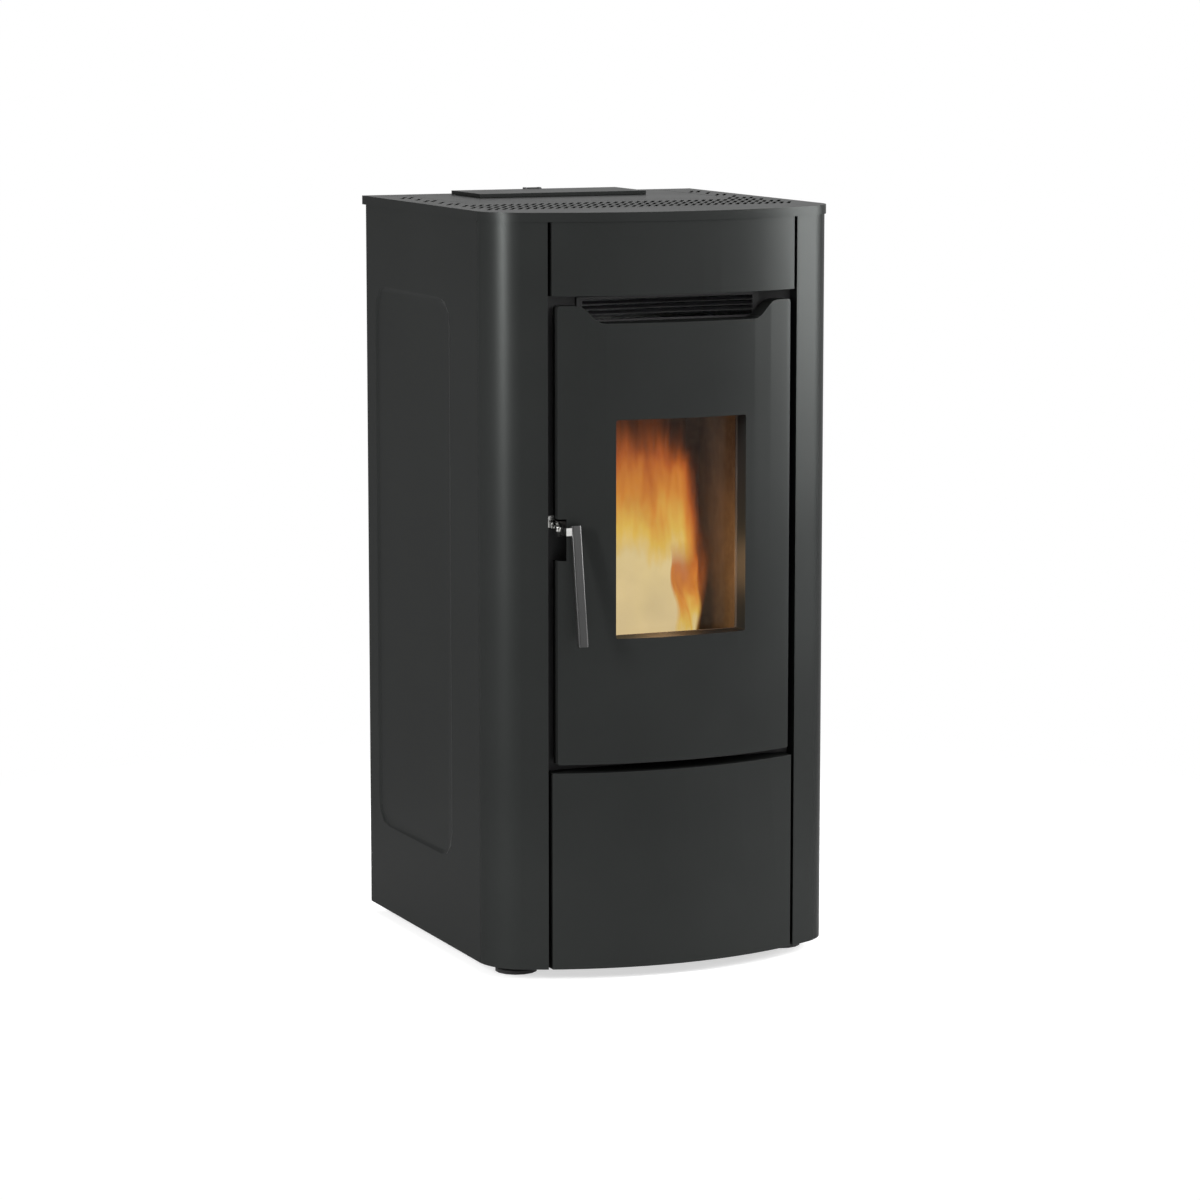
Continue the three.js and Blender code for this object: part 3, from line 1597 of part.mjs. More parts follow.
// Inlet with its three contacts, and the well of the switch above it.
function inletModule() {
  const bodyXs = [inletX - inletHalf, inletX + inletHalf];
  const body = join(
    block(bodyXs, [rearInner - inletDepth, inletFace], [inletBottom, inletTop]),
    block(
      [bodyXs[0] - inletFlange, bodyXs[1] + inletFlange],
      [rearFace + fit, inletFace],
      [inletBottom - inletFlange, inletTop + inletFlange],
    ),
  );
  const socket = block(
    [inletX - socketHalf, inletX + socketHalf],
    [inletFace - socketDepth, inletFace + 1],
    [inletBottom + socketMargin, inletBottom + inletSplit - 2 * socketMargin],
  );
  const wellHalf = rockerTall + rockerPlay;
  const well = block(
    [inletX - rockerHalf - rockerPlay, inletX + rockerHalf + rockerPlay],
    [rockerY - rockerWell, inletFace + 1],
    [rockerZ - wellHalf, rockerZ + wellHalf],
  );
  const stubHole = rod(
    "x",
    [rockerY, rockerZ],
    rockerStub + turning,
    [inletX - rockerHalf - rockerPlay - rockerStubLength, inletX + rockerHalf + rockerPlay + rockerStubLength],
    16,
  );
  const contacts = [-1, 0, 1].map((place) => {
    const x = inletX + place * contactPitch;
    const z = inletBottom + contactRise + (place === 0 ? contactStep : 0);
    return block(
      [x - contactHalf, x + contactHalf],
      [inletFace - socketDepth - 1, inletFace - socketDepth + contactLength],
      [z, z + contactTall],
    );
  });
  return join(cut(body, socket, well, stubHole), ...contacts);
}

// Rocker drawn level, then tipped to the side it rests on.
function rockerBody() {
  const profile = polygon([
    [-rockerDepth, -rockerFoot],
    [rockerCrest, -rockerTall],
    [rockerDip, 0],
    [rockerCrest, rockerTall],
    [-rockerDepth, rockerFoot],
  ]);
  const stub = rockerHalf + rockerPlay + rockerStubLength - fit;
  const geometry = new THREE.ExtrudeGeometry(profile, { depth: 2 * rockerHalf, bevelEnabled: false });
  const tipped = turned(geometry, "x", -rockerHalf).rotateX(-THREE.MathUtils.degToRad(rockerTilt));
  const key = solid(tipped.translate(inletX, rockerY, rockerZ));
  return key.add(rod("x", [rockerY, rockerZ], rockerStub, [inletX - stub, inletX + stub], 16));
}

// ---- Door ----

// The door's outline seen from the front, moved in by a distance.
function doorOutline(inset) {
  const slide = inset * Math.tan(Math.PI / 8);
  const side = doorHalf - inset;
  const top = doorTop - inset;
  const low = doorTop - gripDepth - inset;
  const bottom = doorBottom + inset;
  const tab = gripHalf + gripDepth + slide;
  return roundedPolygon([
    [-side, bottom, doorCorner / 2],
    [side, bottom, doorCorner / 2],
    [side, top, doorCorner],
    [tab, top, gripRadius],
    [gripHalf + slide, low, gripRadius],
    [-gripHalf - slide, low, gripRadius],
    [-tab, top, gripRadius],
    [-side, top, doorCorner],
  ]);
}

function windowOutline(grow) {
  return roundedRect(
    [-windowHalf - grow, windowHalf + grow],
    [windowBottom - grow, windowTop + grow],
    windowRadius + grow,
  );
}

function doorBody(inset, back) {
  const body = prism(doorOutline(inset), "y", [inset, back], 3);
  return body.intersect(casingPrism(inset, [doorBottom - 1, doorTop + 1]));
}

// Bowed skin of the door, with walls turned back round its edge and round the window.
function doorShell() {
  const windowWall = prism(windowOutline(sheet), "y", [0, castFront - fit], 2).intersect(
    casingPrism(0, [doorBottom, doorTop]),
  );
  const skin = join(cut(doorBody(0, doorBack), doorBody(sheet, doorBack + 1)), windowWall);
  const window = prism(windowOutline(0), "y", [-1, castBack], 2);
  const notch = block(
    [-doorHalf - 1, notchWidth - doorHalf],
    [-1, doorBack + 1],
    [latchZ - notchBelow, latchZ + notchAbove],
  );
  const hingeNotches = [lowerLug, upperLug].map(([z0, z1]) =>
    block(
      [doorHalf - sheet - fit, doorHalf + 1],
      [hingeY - hingeSwing, doorBack + 1],
      [z0 - hingePlay, z1 + hingePlay],
    ),
  );
  return cut(skin, window, notch, ...hingeNotches);
}

function paneOutline(inset) {
  const grow = glassLap - inset;
  return roundedRect(
    [-windowHalf - grow, windowHalf + grow],
    [windowBottom - grow, windowTop + grow],
    glassRadius - inset,
  );
}

// The line round the casting's back that the rope lies along, moved in by a distance.
function ropeOutline(inset, radius) {
  const half = castHalf - ropeInset - inset;
  return roundedRect([-half, half], [castBottom + ropeInset + inset, castTop - ropeInset - inset], radius);
}

// Cast frame behind the skin: it holds the glass and the rope, and carries the hinge lugs and the latch's ear.
function doorCasting() {
  const outline = roundedRect([-castHalf, castHalf], [castBottom, castTop], castRadius);
  const groove = cut(
    prism(ropeOutline(0, ropeRadius), "y", [castBack - ropeGroove, castBack + 1], 4),
    prism(ropeOutline(ropeWidth, ropeRadius / 2), "y", [castBack - 2 * ropeGroove, castBack + 2], 4),
  );
  const lugs = [lowerLug[1], upperLug[1]].map((z) => {
    const heights = [z + fit, z + fit + eyeHeight];
    return join(
      block([castHalf - 2, hingeX], [hingeY - hingeHalf, hingeY + hingeHalf], heights),
      rod("z", [hingeX, hingeY], hingeEye, heights, 14),
    );
  });
  const ear = block(
    [leverX + leverSheet + fit, 2 - castHalf],
    [latchY - latchPin, latchY + 2 * latchPin],
    [latchZ - earHalf, latchZ + earHalf],
  );
  const pinRadius = boreRadius(hingePin + turning, 14);
  return cut(
    join(prism(outline, "y", [castFront, castBack], 4), ...lugs, ear),
    prism(windowOutline(0), "y", [castFront - 1, castBack + 1], 2),
    prism(paneOutline(0), "y", [glassFront, castBack + 1], 2),
    groove,
    rod("z", [hingeX, hingeY], pinRadius, [0, plateTop], 14),
    rod("x", [latchY, latchZ], latchPin + fit, [leverX, pinEnd + 1], shaftSides),
  );
}

function doorRope() {
  const edge = fit + ropeRound;
  const ring = ropeOutline(edge, ropeRadius - edge);
  ring.holes.push(ropeOutline(ropeWidth - edge, ropeRadius / 2 - fit));
  const from = castBack - ropeGroove + edge;
  const to = frameY - edge;
  const geometry = new THREE.ExtrudeGeometry(ring, {
    depth: to - from,
    bevelThickness: ropeRound,
    bevelSize: ropeRound,
    bevelSegments: 1,
    curveSegments: 3,
  });
  return solid(turned(geometry, "y", from, to));
}

function doorGlass() {
  return prism(paneOutline(fit), "y", [glassFront + fit, glassFront + fit + glassSheet], 2);
}

function glassClamp() {
  const front = glassFront + 2 * fit + glassSheet;
  return cut(
    prism(paneOutline(fit), "y", [front, castBack], 2),
    prism(windowOutline(sheet), "y", [front - 1, castBack + 1], 2),
  );
}

function hingeBracket([z0, z1]) {
  return join(
    block(
      [hingeX - bracketMargin, hingeX + bracketMargin],
      [frameSeat - bracketSheet, frameSeat],
      [z0 - bracketMargin, z1 + bracketMargin],
    ),
    block([hingeX - hingeHalf, hingeX + hingeHalf], [hingeY, frameSeat], [z0, z1]),
    rod("z", [hingeX, hingeY], hingeHalf, [z0, z1], 14),
    rod("z", [hingeX, hingeY], hingePin, [z0, z1 + eyeHeight + 2 * sheet], 14),
  );
}

// Lever of the latch: an eye on its pin, an arm out through the notch to the grip, and the hook behind.
function latchLever() {
  const hookTop = rollerZ - rollerRadius - fit;
  const hookBack = rollerY + rollerRadius + hookReach;
  const armFront = gripTopY - gripThick / 2;
  const outline = roundedPolygon([
    [armFront, latchZ - armHalf - 1, 1],
    [latchY - latchEye, latchZ - latchEye + 1, 1],
    [latchY - latchEye / 2, latchZ - latchEye - 3, 2],
    [rollerY - 2, hookTop - hookTall, 2],
    [hookBack, hookTop - hookTall + 2, 2],
    [hookBack, hookTop, 0.5],
    [hookBack - hookReach + 0.4, hookTop, 0.5],
    [rollerY - 1, hookTop - hookTall / 2, 1],
    [latchY + latchEye - 1, latchZ, 2],
    [latchY + 3, latchZ + latchEye, 3],
    [latchY - 3, latchZ + latchEye, 3],
    [latchY - latchEye, latchZ + 3, 2],
    [armFront, latchZ + armHalf - 1, 1],
  ]);
  const lever = prism(outline, "x", [leverX, leverX + leverSheet], 3);
  const tab = block(
    [leverX, gripLeft - fit],
    [armFront, armFront + gripThick],
    [latchZ - armHalf - 1, latchZ + armHalf - 1],
  );
  const bore = rod("x", [latchY, latchZ], boreRadius(latchPin + turning, shaftSides), [leverX - 1, 0], shaftSides);
  return cut(join(lever, tab), bore);
}

// The grip: a slim bar with eased edges that hangs from the lever and leans out at its foot.
function handleGrip() {
  const [wide, thick] = [gripWidth / 2, gripThick / 2];
  const section = roundedPolygon([
    [wide, -thick, gripCorner],
    [wide, thick, gripCorner],
    [-wide, thick, gripCorner],
    [-wide, -thick, gripCorner],
  ]);
  const bar = new THREE.ExtrudeGeometry(section, { depth: gripLength, bevelEnabled: false, curveSegments: 3 });
  bar.translate(0, 0, -gripLength).rotateX(-gripLean);
  return solid(bar.translate(gripLeft + wide, gripTopY, gripTopZ));
}

function latchPinBody() {
  const head = latchPin + 2;
  return join(
    rod("x", [latchY, latchZ], latchPin, [leverX - 1, pinEnd], shaftSides),
    rod("x", [latchY, latchZ], head, [leverX - head / 2, leverX - fit], shaftSides),
  );
}

// Keeper on the front frame: two cheeks that hold the roller between them.
function latchKeeper() {
  const left = leverX - cheekGap;
  const right = leverX + leverSheet + cheekGap;
  const foot = rollerZ - rollerRadius;
  const cheeks = [[left - cheekSheet, left], [right, right + cheekSheet]].map((xs) =>
    block(xs, [rollerY - rollerRadius, frameSeat], [foot, rollerZ + cheekRise]),
  );
  return join(
    block(
      [leverX - keeperMargin, leverX + leverSheet + keeperMargin],
      [frameSeat - bracketSheet, frameSeat],
      [foot, foot + keeperHeight],
    ),
    ...cheeks,
    rod("x", [rollerY, rollerZ], rollerRadius, [left - 1, right + 1], shaftSides),
  );
}

// ---- Pieces ----

const left = sidePanel();
piece("left_side_panel", left, paint);
piece("right_side_panel", mirrored(left), paint);
piece("upper_front_panel", frontPanel([upperPanelBottom, panelTop], "bottom"), paint);
piece("lower_front_panel", frontPanel([footHeight, lowerPanelTop], "top"), paint);
piece("top_plate", topPlate(), paint);
piece("top_cover", topCover(), paint);
piece("base_tray", baseTray(), blackPaint);
const footNames = ["front_left_foot", "front_right_foot", "rear_left_foot", "rear_right_foot"];
footPlaces().forEach((place, index) => piece(footNames[index], foot(place), moulded));
piece("rear_panel", rearPanel(), galvanised);
piece("front_frame", frontFrame(), blackPaint);
piece("air_outlet_grille", airGrille(), blackPaint);
piece("air_outlet_duct", airDuct(), galvanised);
piece("heat_exchanger", exchanger(), steel);
piece("firebox", firebox(), blackPaint);
piece("fire_back", fireBack(), vermiculite);
piece("left_liner", sideLiner(-1), vermiculite);
piece("right_liner", sideLiner(1), vermiculite);
piece("flame_deflector", deflector(), steel);
piece("burn_pot_holder", holder(), castIron);
piece("burn_pot", pot(), castIron);
piece("ash_pan", ashPan(), galvanised);
piece("igniter", igniter(), steel);
piece("pellet_chute", chute(), steel);
piece("auger_tube", augerTube(), steel);
piece("auger_screw", augerScrew(), steel);
piece("auger_gearmotor", gearmotor(), moulded);
piece("hopper", hopper(), galvanised);
piece("hopper_grid", hopperGrid(), steel);
piece("hopper_lid", lid(), paint);
piece("lid_hinge_bracket", lidBracket(), blackPaint);
piece("lid_gasket", lidGasket(), rope);
piece("convection_fan_housing", blowerHousing(), galvanised);
piece("convection_fan_wheel", fanWheel(blower, blowerVanes), galvanised);
piece("convection_fan_motor", fanMotor(blower), blackPaint);
piece("smoke_fan_housing", extractorHousing(), steel);
piece("smoke_fan_wheel", fanWheel(extractor, extractorVanes), steel);
piece("smoke_fan_motor", fanMotor(extractor), blackPaint);
piece("exhaust_duct", exhaustDuct(), galvanised);
piece("flue_outlet", flue(), steel);
piece("air_inlet_pipe", airPipe(), galvanised);
piece("control_board", board(), boardGreen);
piece("pressure_switch", pressureSwitch(), moulded);
piece("safety_thermostat", thermostatBody(), steel);
piece("thermostat_cap", thermostatCap(), moulded);
piece("mains_inlet", inletModule(), moulded);
piece("switch_rocker", rockerBody(), moulded);
piece("lower_hinge_bracket", hingeBracket(lowerLug), blackPaint);
piece("upper_hinge_bracket", hingeBracket(upperLug), blackPaint);
piece("latch_keeper", latchKeeper(), steel);
piece("door_shell", doorShell(), paint);
piece("door_casting", doorCasting(), castIron);
piece("door_rope", doorRope(), rope);
piece("door_glass", doorGlass(), ceramicGlass);
piece("glass_clamp", glassClamp(), blackPaint);
piece("latch_pin", latchPinBody(), steel);
piece("latch_lever", latchLever(), steel);
piece("handle_grip", handleGrip(), blackPaint);

export default stove;
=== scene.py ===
"""A free-standing pellet stove: materials, fire, small fasteners, studio light and camera.

Metres, +Z up, the fire door towards -Y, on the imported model's own frame.
"""

import math
import random

import bmesh
import bpy
from mathutils import Matrix, Vector


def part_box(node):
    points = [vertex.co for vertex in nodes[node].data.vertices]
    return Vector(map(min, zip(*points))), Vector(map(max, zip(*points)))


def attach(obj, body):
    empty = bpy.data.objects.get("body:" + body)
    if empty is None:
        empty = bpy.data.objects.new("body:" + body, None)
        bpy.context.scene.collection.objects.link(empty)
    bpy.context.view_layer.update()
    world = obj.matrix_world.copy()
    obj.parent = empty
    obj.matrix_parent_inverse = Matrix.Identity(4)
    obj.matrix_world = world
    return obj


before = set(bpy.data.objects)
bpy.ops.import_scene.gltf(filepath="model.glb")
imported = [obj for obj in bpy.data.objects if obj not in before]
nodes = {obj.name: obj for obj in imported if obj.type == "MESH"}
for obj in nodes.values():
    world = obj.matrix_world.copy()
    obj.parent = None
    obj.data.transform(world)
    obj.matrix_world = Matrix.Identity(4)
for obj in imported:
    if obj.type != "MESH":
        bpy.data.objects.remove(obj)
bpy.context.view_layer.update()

MM = 0.001


def add_object(name, data):
    """Puts a mesh, lamp or camera into the scene."""
    obj = bpy.data.objects.new(name, data)
    bpy.context.scene.collection.objects.link(obj)
    return obj


# ---- Camera: where the photograph was taken from ----

CAMERA_PLACE = Vector((-2.2465, -5.1964, 1.2992))
CAMERA_TURN = math.radians(23.362)  # to the right of straight ahead
CAMERA_TILT = math.radians(8.431)  # downwards
CAMERA_REACH = 100.0
SENSOR = 36.0  # millimetres, as is the lens
LENS = 126.58


def add_camera():
    data = bpy.data.cameras.new("camera")
    data.sensor_width = SENSOR
    data.lens = LENS
    data.clip_end = CAMERA_REACH
    camera = add_object("camera", data)
    camera.location = CAMERA_PLACE
    camera.rotation_euler = (math.pi / 2 - CAMERA_TILT, 0, -CAMERA_TURN)
    bpy.context.scene.camera = camera


# ---- Node helpers ----


class Nodes:
    """Short calls for building one node tree."""

    def __init__(self, tree):
        self.tree = tree
        tree.nodes.clear()

    def add(self, kind, inputs=None, **settings):
        """Adds a node. An input is a plain value, or the socket that feeds it."""
        node = self.tree.nodes.new(kind)
        for name, value in settings.items():
            setattr(node, name, value)
        for name, value in (inputs or {}).items():
            if isinstance(value, bpy.types.NodeSocket):
                self.tree.links.new(value, node.inputs[name])
            else:
                node.inputs[name].default_value = value
        return node

    def math(self, operation, a, b, clamp=False):
        return self.add("ShaderNodeMath", {0: a, 1: b}, operation=operation, use_clamp=clamp).outputs[0]

    def remap(self, value, before, after=(0.0, 1.0), **settings):
        """Maps the range before onto the range after, and holds a value past its ends at them."""
        inputs = {"Value": value, "From Min": before[0], "From Max": before[1],
                  "To Min": after[0], "To Max": after[1]}
        return self.add("ShaderNodeMapRange", inputs, **settings).outputs["Result"]

    def ramp(self, factor, stops):
        """A run of colours; stops lists (place, colour)."""
        node = self.add("ShaderNodeValToRGB", {"Fac": factor})
        elements = node.color_ramp.elements
        while len(elements) < len(stops):
            elements.new(0.5)
        for element, (place, colour) in zip(elements, stops):
            element.position = place
            element.color = (*colour, 1.0)
        return node.outputs["Color"]

    def noise(self, vector, scale, detail=3.0, roughness=0.55):
        inputs = {"Vector": vector, "Scale": scale, "Detail": detail, "Roughness": roughness}
        return self.add("ShaderNodeTexNoise", inputs).outputs["Fac"]

    def point(self):
        """Where the shaded point is, in metres."""
        return self.add("ShaderNodeTexCoord").outputs["Object"]

    def stretched(self, vector, scale, shift=(0.0, 0.0, 0.0)):
        inputs = {"Vector": vector, "Location": shift, "Scale": scale}
        return self.add("ShaderNodeMapping", inputs).outputs["Vector"]

    def finish(self, shader, kind="ShaderNodeOutputMaterial"):
        self.add(kind, {"Surface": shader})


def new_material(name):
    material = bpy.data.materials.new(name)
    material.use_nodes = True
    return material, Nodes(material.node_tree)


# ---- Materials ----

NOISE_SPAN = (0.3, 0.7)  # where nearly all values of a noise lie
GRAIN_SHARE = 0.45  # how much of a surface's variation is grain; the rest is patches
PATCH_DETAIL = 2.0


def surface(name, dark, light, rough, metallic, grain, patch, bump,
            stretch=(1.0, 1.0, 1.0), detail=3.0, **sockets):
    """A painted, cast, rolled or moulded surface. A fine grain and broader patches take its colour from dark
    to light and its roughness along rough, and the grain is also its relief. grain and patch count the spots
    along a metre, and bump is in millimetres."""
    material, tree = new_material(name)
    place = tree.stretched(tree.point(), stretch)
    fine = tree.noise(place, grain, detail)
    broad = tree.noise(place, patch, PATCH_DETAIL)
    mixed = tree.math("ADD", tree.math("MULTIPLY", fine, GRAIN_SHARE),
                      tree.math("MULTIPLY", broad, 1 - GRAIN_SHARE))
    colour = tree.ramp(mixed, [(NOISE_SPAN[0], dark), (NOISE_SPAN[1], light)])
    roughness = tree.remap(mixed, NOISE_SPAN, rough)
    relief = tree.add("ShaderNodeBump", {"Strength": 1.0, "Distance": bump * MM, "Height": fine})
    shader = tree.add("ShaderNodeBsdfPrincipled", {
        "Base Color": colour, "Roughness": roughness, "Metallic": metallic,
        "Normal": relief.outputs["Normal"], **sockets,
    })
    tree.finish(shader.outputs["BSDF"])
    return material


PAINT = surface("anthracite_paint", (0.0215, 0.0228, 0.0222), (0.0265, 0.0280, 0.0273), (0.34, 0.40), 0.6,
                grain=2600, patch=5, bump=0.010,
                **{"Specular IOR Level": 0.06, "Specular Tint": (0.35, 0.35, 0.35, 1.0)})
BLACK = surface("black_paint", (0.008, 0.008, 0.0085), (0.014, 0.014, 0.015), (0.5, 0.62), 0.0,
                grain=1800, patch=9, bump=0.02)
GRIP = surface("grip_paint", (0.010, 0.010, 0.010), (0.016, 0.016, 0.016), (0.26, 0.34), 0.0,
               grain=2400, patch=20, bump=0.006)
ZINC = surface("zinc_sheet", (0.32, 0.33, 0.34), (0.52, 0.53, 0.54), (0.34, 0.55), 1.0,
               grain=55, patch=130, bump=0.004, detail=1.0)
STEEL = surface("brushed_steel", (0.30, 0.30, 0.30), (0.50, 0.50, 0.49), (0.24, 0.42), 1.0,
                grain=240, patch=14, bump=0.01, stretch=(1.0, 12.0, 1.0))
BRIGHT = surface("latch_steel", (0.55, 0.55, 0.54), (0.72, 0.72, 0.70), (0.16, 0.26), 1.0,
                 grain=500, patch=60, bump=0.004)
CAST = surface("cast_iron", (0.014, 0.0125, 0.0115), (0.045, 0.040, 0.036), (0.68, 0.86), 0.3,
               grain=700, patch=40, bump=0.12, detail=6.0)
SOOTED = surface("vermiculite", (0.035, 0.025, 0.018), (0.16, 0.12, 0.085), (0.85, 0.97), 0.0,
                 grain=160, patch=11, bump=0.25, detail=6.0)
RUBBER = surface("foot_rubber", (0.006, 0.006, 0.006), (0.012, 0.012, 0.012), (0.62, 0.78), 0.0,
                 grain=1200, patch=30, bump=0.03)
MOULDED = surface("moulded_black", (0.009, 0.009, 0.010), (0.016, 0.016, 0.017), (0.42, 0.54), 0.0,
                  grain=1500, patch=25, bump=0.02)
BOARD = surface("circuit_board", (0.010, 0.055, 0.022), (0.020, 0.095, 0.040), (0.3, 0.42), 0.0,
                grain=300, patch=60, bump=0.01)
ROPE = surface("glass_rope", (0.05, 0.05, 0.048), (0.16, 0.155, 0.15), (0.9, 1.0), 0.0,
               grain=420, patch=140, bump=0.6)


def glass_material():
    """Ceramic glass: tinted, smooth, and lightly smoked in patches."""
    material, tree = new_material("ceramic_glass")
    haze = tree.noise(tree.point(), scale=9.0)
    shader = tree.add("ShaderNodeBsdfPrincipled", {
        "Base Color": (0.035, 0.022, 0.015, 1.0), "Roughness": 0.06,
        "Alpha": tree.remap(haze, NOISE_SPAN, (0.10, 0.20)),
    })
    tree.finish(shader.outputs["BSDF"])
    return material


GLASS = glass_material()

LOOKS = {
    PAINT: ["left_side_panel", "right_side_panel", "upper_front_panel", "lower_front_panel", "top_plate",
            "top_cover", "hopper_lid", "door_shell"],
    BLACK: ["base_tray", "front_frame", "air_outlet_grille", "firebox", "lid_hinge_bracket",
            "convection_fan_motor", "smoke_fan_motor", "lower_hinge_bracket", "upper_hinge_bracket",
            "glass_clamp"],
    GRIP: ["handle_grip"],
    RUBBER: ["front_left_foot", "front_right_foot", "rear_left_foot", "rear_right_foot"],
    ZINC: ["rear_panel", "air_outlet_duct", "ash_pan", "hopper", "convection_fan_housing",
           "convection_fan_wheel", "exhaust_duct", "air_inlet_pipe"],
    STEEL: ["heat_exchanger", "flame_deflector", "igniter", "pellet_chute", "auger_tube", "auger_screw",
            "hopper_grid", "smoke_fan_housing", "smoke_fan_wheel", "flue_outlet", "safety_thermostat"],
    BRIGHT: ["latch_keeper", "latch_pin", "latch_lever"],
    CAST: ["burn_pot_holder", "burn_pot", "door_casting"],
    SOOTED: ["fire_back", "left_liner", "right_liner"],
    ROPE: ["lid_gasket", "door_rope"],
    GLASS: ["door_glass"],
    MOULDED: ["auger_gearmotor", "pressure_switch", "thermostat_cap", "mains_inlet", "switch_rocker"],
    BOARD: ["control_board"],
}

# ---- Edges ----

PLAIN_ROUNDING = 0.4 * MM
ROUNDING = {"top_plate": 0.8 * MM, "door_shell": 0.7 * MM, "upper_front_panel": 0.7 * MM,
            "lower_front_panel": 0.7 * MM, "left_side_panel": 0.7 * MM, "right_side_panel": 0.7 * MM,
            "hopper_lid": 0.8 * MM, "handle_grip": 0.8 * MM, "door_casting": 1.0 * MM, "burn_pot": 1.2 * MM,
            "burn_pot_holder": 1.0 * MM, "door_glass": 0.5 * MM}
ROUNDING_STEPS = 2
STEEP = math.radians(40)  # an edge is rounded, and stays sharp in the shading, where it turns by more
WELD_REACH = 0.005 * MM


def smoothing_group():
    """Geometry nodes that shade faces smooth, except across steep edges."""
    tree = bpy.data.node_groups.new("smooth_shallow_edges", "GeometryNodeTree")
    tree.interface.new_socket("Geometry", in_out="INPUT", socket_type="NodeSocketGeometry")
    tree.interface.new_socket("Geometry", in_out="OUTPUT", socket_type="NodeSocketGeometry")
    start = tree.nodes.new("NodeGroupInput")
    faces = tree.nodes.new("GeometryNodeSetShadeSmooth")
    edges = tree.nodes.new("GeometryNodeSetShadeSmooth")
    angle = tree.nodes.new("GeometryNodeInputMeshEdgeAngle")
    steep = tree.nodes.new("FunctionNodeCompare")
    end = tree.nodes.new("NodeGroupOutput")
    faces.domain, edges.domain = "FACE", "EDGE"
    edges.inputs["Shade Smooth"].default_value = False
    steep.operation = "GREATER_THAN"
    steep.inputs["B"].default_value = STEEP
    tree.links.new(start.outputs[0], faces.inputs["Geometry"])
    tree.links.new(faces.outputs[0], edges.inputs["Geometry"])
    tree.links.new(angle.outputs["Unsigned Angle"], steep.inputs["A"])
    tree.links.new(steep.outputs["Result"], edges.inputs["Selection"])
    tree.links.new(edges.outputs[0], end.inputs[0])
    return tree


SMOOTHING = smoothing_group()


def soften(obj, rounding):
    """Rounds an object's edges a little and shades its curves smooth."""
    weld = obj.modifiers.new("weld", "WELD")
    weld.merge_threshold = WELD_REACH
    bevel = obj.modifiers.new("bevel", "BEVEL")
    bevel.width = rounding
    bevel.segments = ROUNDING_STEPS
    bevel.limit_method = "ANGLE"
    bevel.angle_limit = STEEP
    bevel.use_clamp_overlap = True
    smooth = obj.modifiers.new("smooth", "NODES")
    smooth.node_group = SMOOTHING
    normals = obj.modifiers.new("normals", "WEIGHTED_NORMAL")
    normals.keep_sharp = True


def dress_nodes():
    """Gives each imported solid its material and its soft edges."""
    for material, names in LOOKS.items():
        for name in names:
            obj = nodes[name]
            obj.data.materials.clear()
            obj.data.materials.append(material)
            soften(obj, ROUNDING.get(name, PLAIN_ROUNDING))


# ---- The fire ----

FLAME_SINK = 12 * MM  # how far the flames' feet are under the burn pot's rim
FLAME_CLEARANCE = 4 * MM  # between their tips and the deflector
FLAME_COLUMNS, FLAME_ROWS = 28, 40
FLAME_GAP = 20 * MM  # from one sheet to the next
STREAKS = (34.0, 34.0, 8.0)  # along a metre of each axis: long and upright
SEED_SLANT = 0.37  # how far a seed moves the streaks back, for each step to the side
COOLED = 0.75  # the heat that a flame loses past its right side; up its whole height it loses 1
TONGUE_DROP = 0.10  # how much lower the front tongue's colours end

# A sheet's width up its height, as a share of its full one: it swells to a shoulder, and then draws in.
FOOT_SPREAD, SWELL, TAPER = 0.72, 0.62, 0.5
SHOULDER, SHOULDER_SPREAD = 0.75, 0.9037

# Waves move it sideways, and a ripple back and forth.
WAVES = 4
WAVE_RATES = (2, 6)  # half the radians that a wave takes up the sheet's height
WAVE_SHARES = (0.2, 1.0)  # of the sway
SWAY = 4 * MM
RIPPLE = 10 * MM
RIPPLE_UP, RIPPLE_ACROSS = 5, 3  # radians up the sheet's height, and across half its width
ROW_BOW = 0.06  # how much lower a row's ends are, as a share of their height
SIDE_FADE, TIP_FADE = 5.0, 4.0  # one over the share of a half width, or of the height, that fades out
ROUND_TURN = 6.28  # radians


def flame_material(name, low, high, seed, hot, edge, side):
    """Glowing gas: the colour runs from pale at its foot to dark red at its tips and past its right side, and
    upright streaks break it up. low and high are the heights of foot and tip, hot how far up the pale core
    reaches, edge how ragged it is, and side where it cools, from left to right."""
    material, tree = new_material(name)
    point = tree.point()
    parts = tree.add("ShaderNodeSeparateXYZ", {"Vector": point}).outputs
    streaks = tree.stretched(point, STREAKS, (seed, seed * SEED_SLANT, 0.0))
    noise = tree.noise(streaks, scale=1.0, detail=4.0, roughness=0.6)
    height = tree.remap(parts["Z"], (low, high))
    cooling = tree.remap(parts["X"], side, (0.0, COOLED))
    ragged = tree.math("MULTIPLY", tree.math("SUBTRACT", noise, 0.5), edge)
    heat = tree.math("ADD", tree.math("ADD", height, cooling), ragged)
    colour = tree.ramp(heat, [
        (0.0, (0.88, 0.68, 0.36)),
        (hot, (0.90, 0.70, 0.34)),
        (hot + 0.12, (0.90, 0.58, 0.11)),
        (hot + 0.26, (0.82, 0.31, 0.045)),
        (hot + 0.42, (0.58, 0.13, 0.02)),
        (0.98, (0.10, 0.02, 0.008)),
    ])
    fade = tree.ramp(heat, [(0.0, (1, 1, 1)), (hot + 0.34, (0.97, 0.97, 0.97)), (1.0, (0, 0, 0))])
    rim = tree.add("ShaderNodeAttribute", attribute_name="rim").outputs["Fac"]
    mix = tree.add("ShaderNodeMixShader", {
        "Fac": tree.math("MULTIPLY", fade, rim, True),
        1: tree.add("ShaderNodeBsdfTransparent").outputs[0],
        2: tree.add("ShaderNodeEmission", {"Color": colour, "Strength": 1.0}).outputs[0],
    })
    tree.finish(mix.outputs[0])
    return material


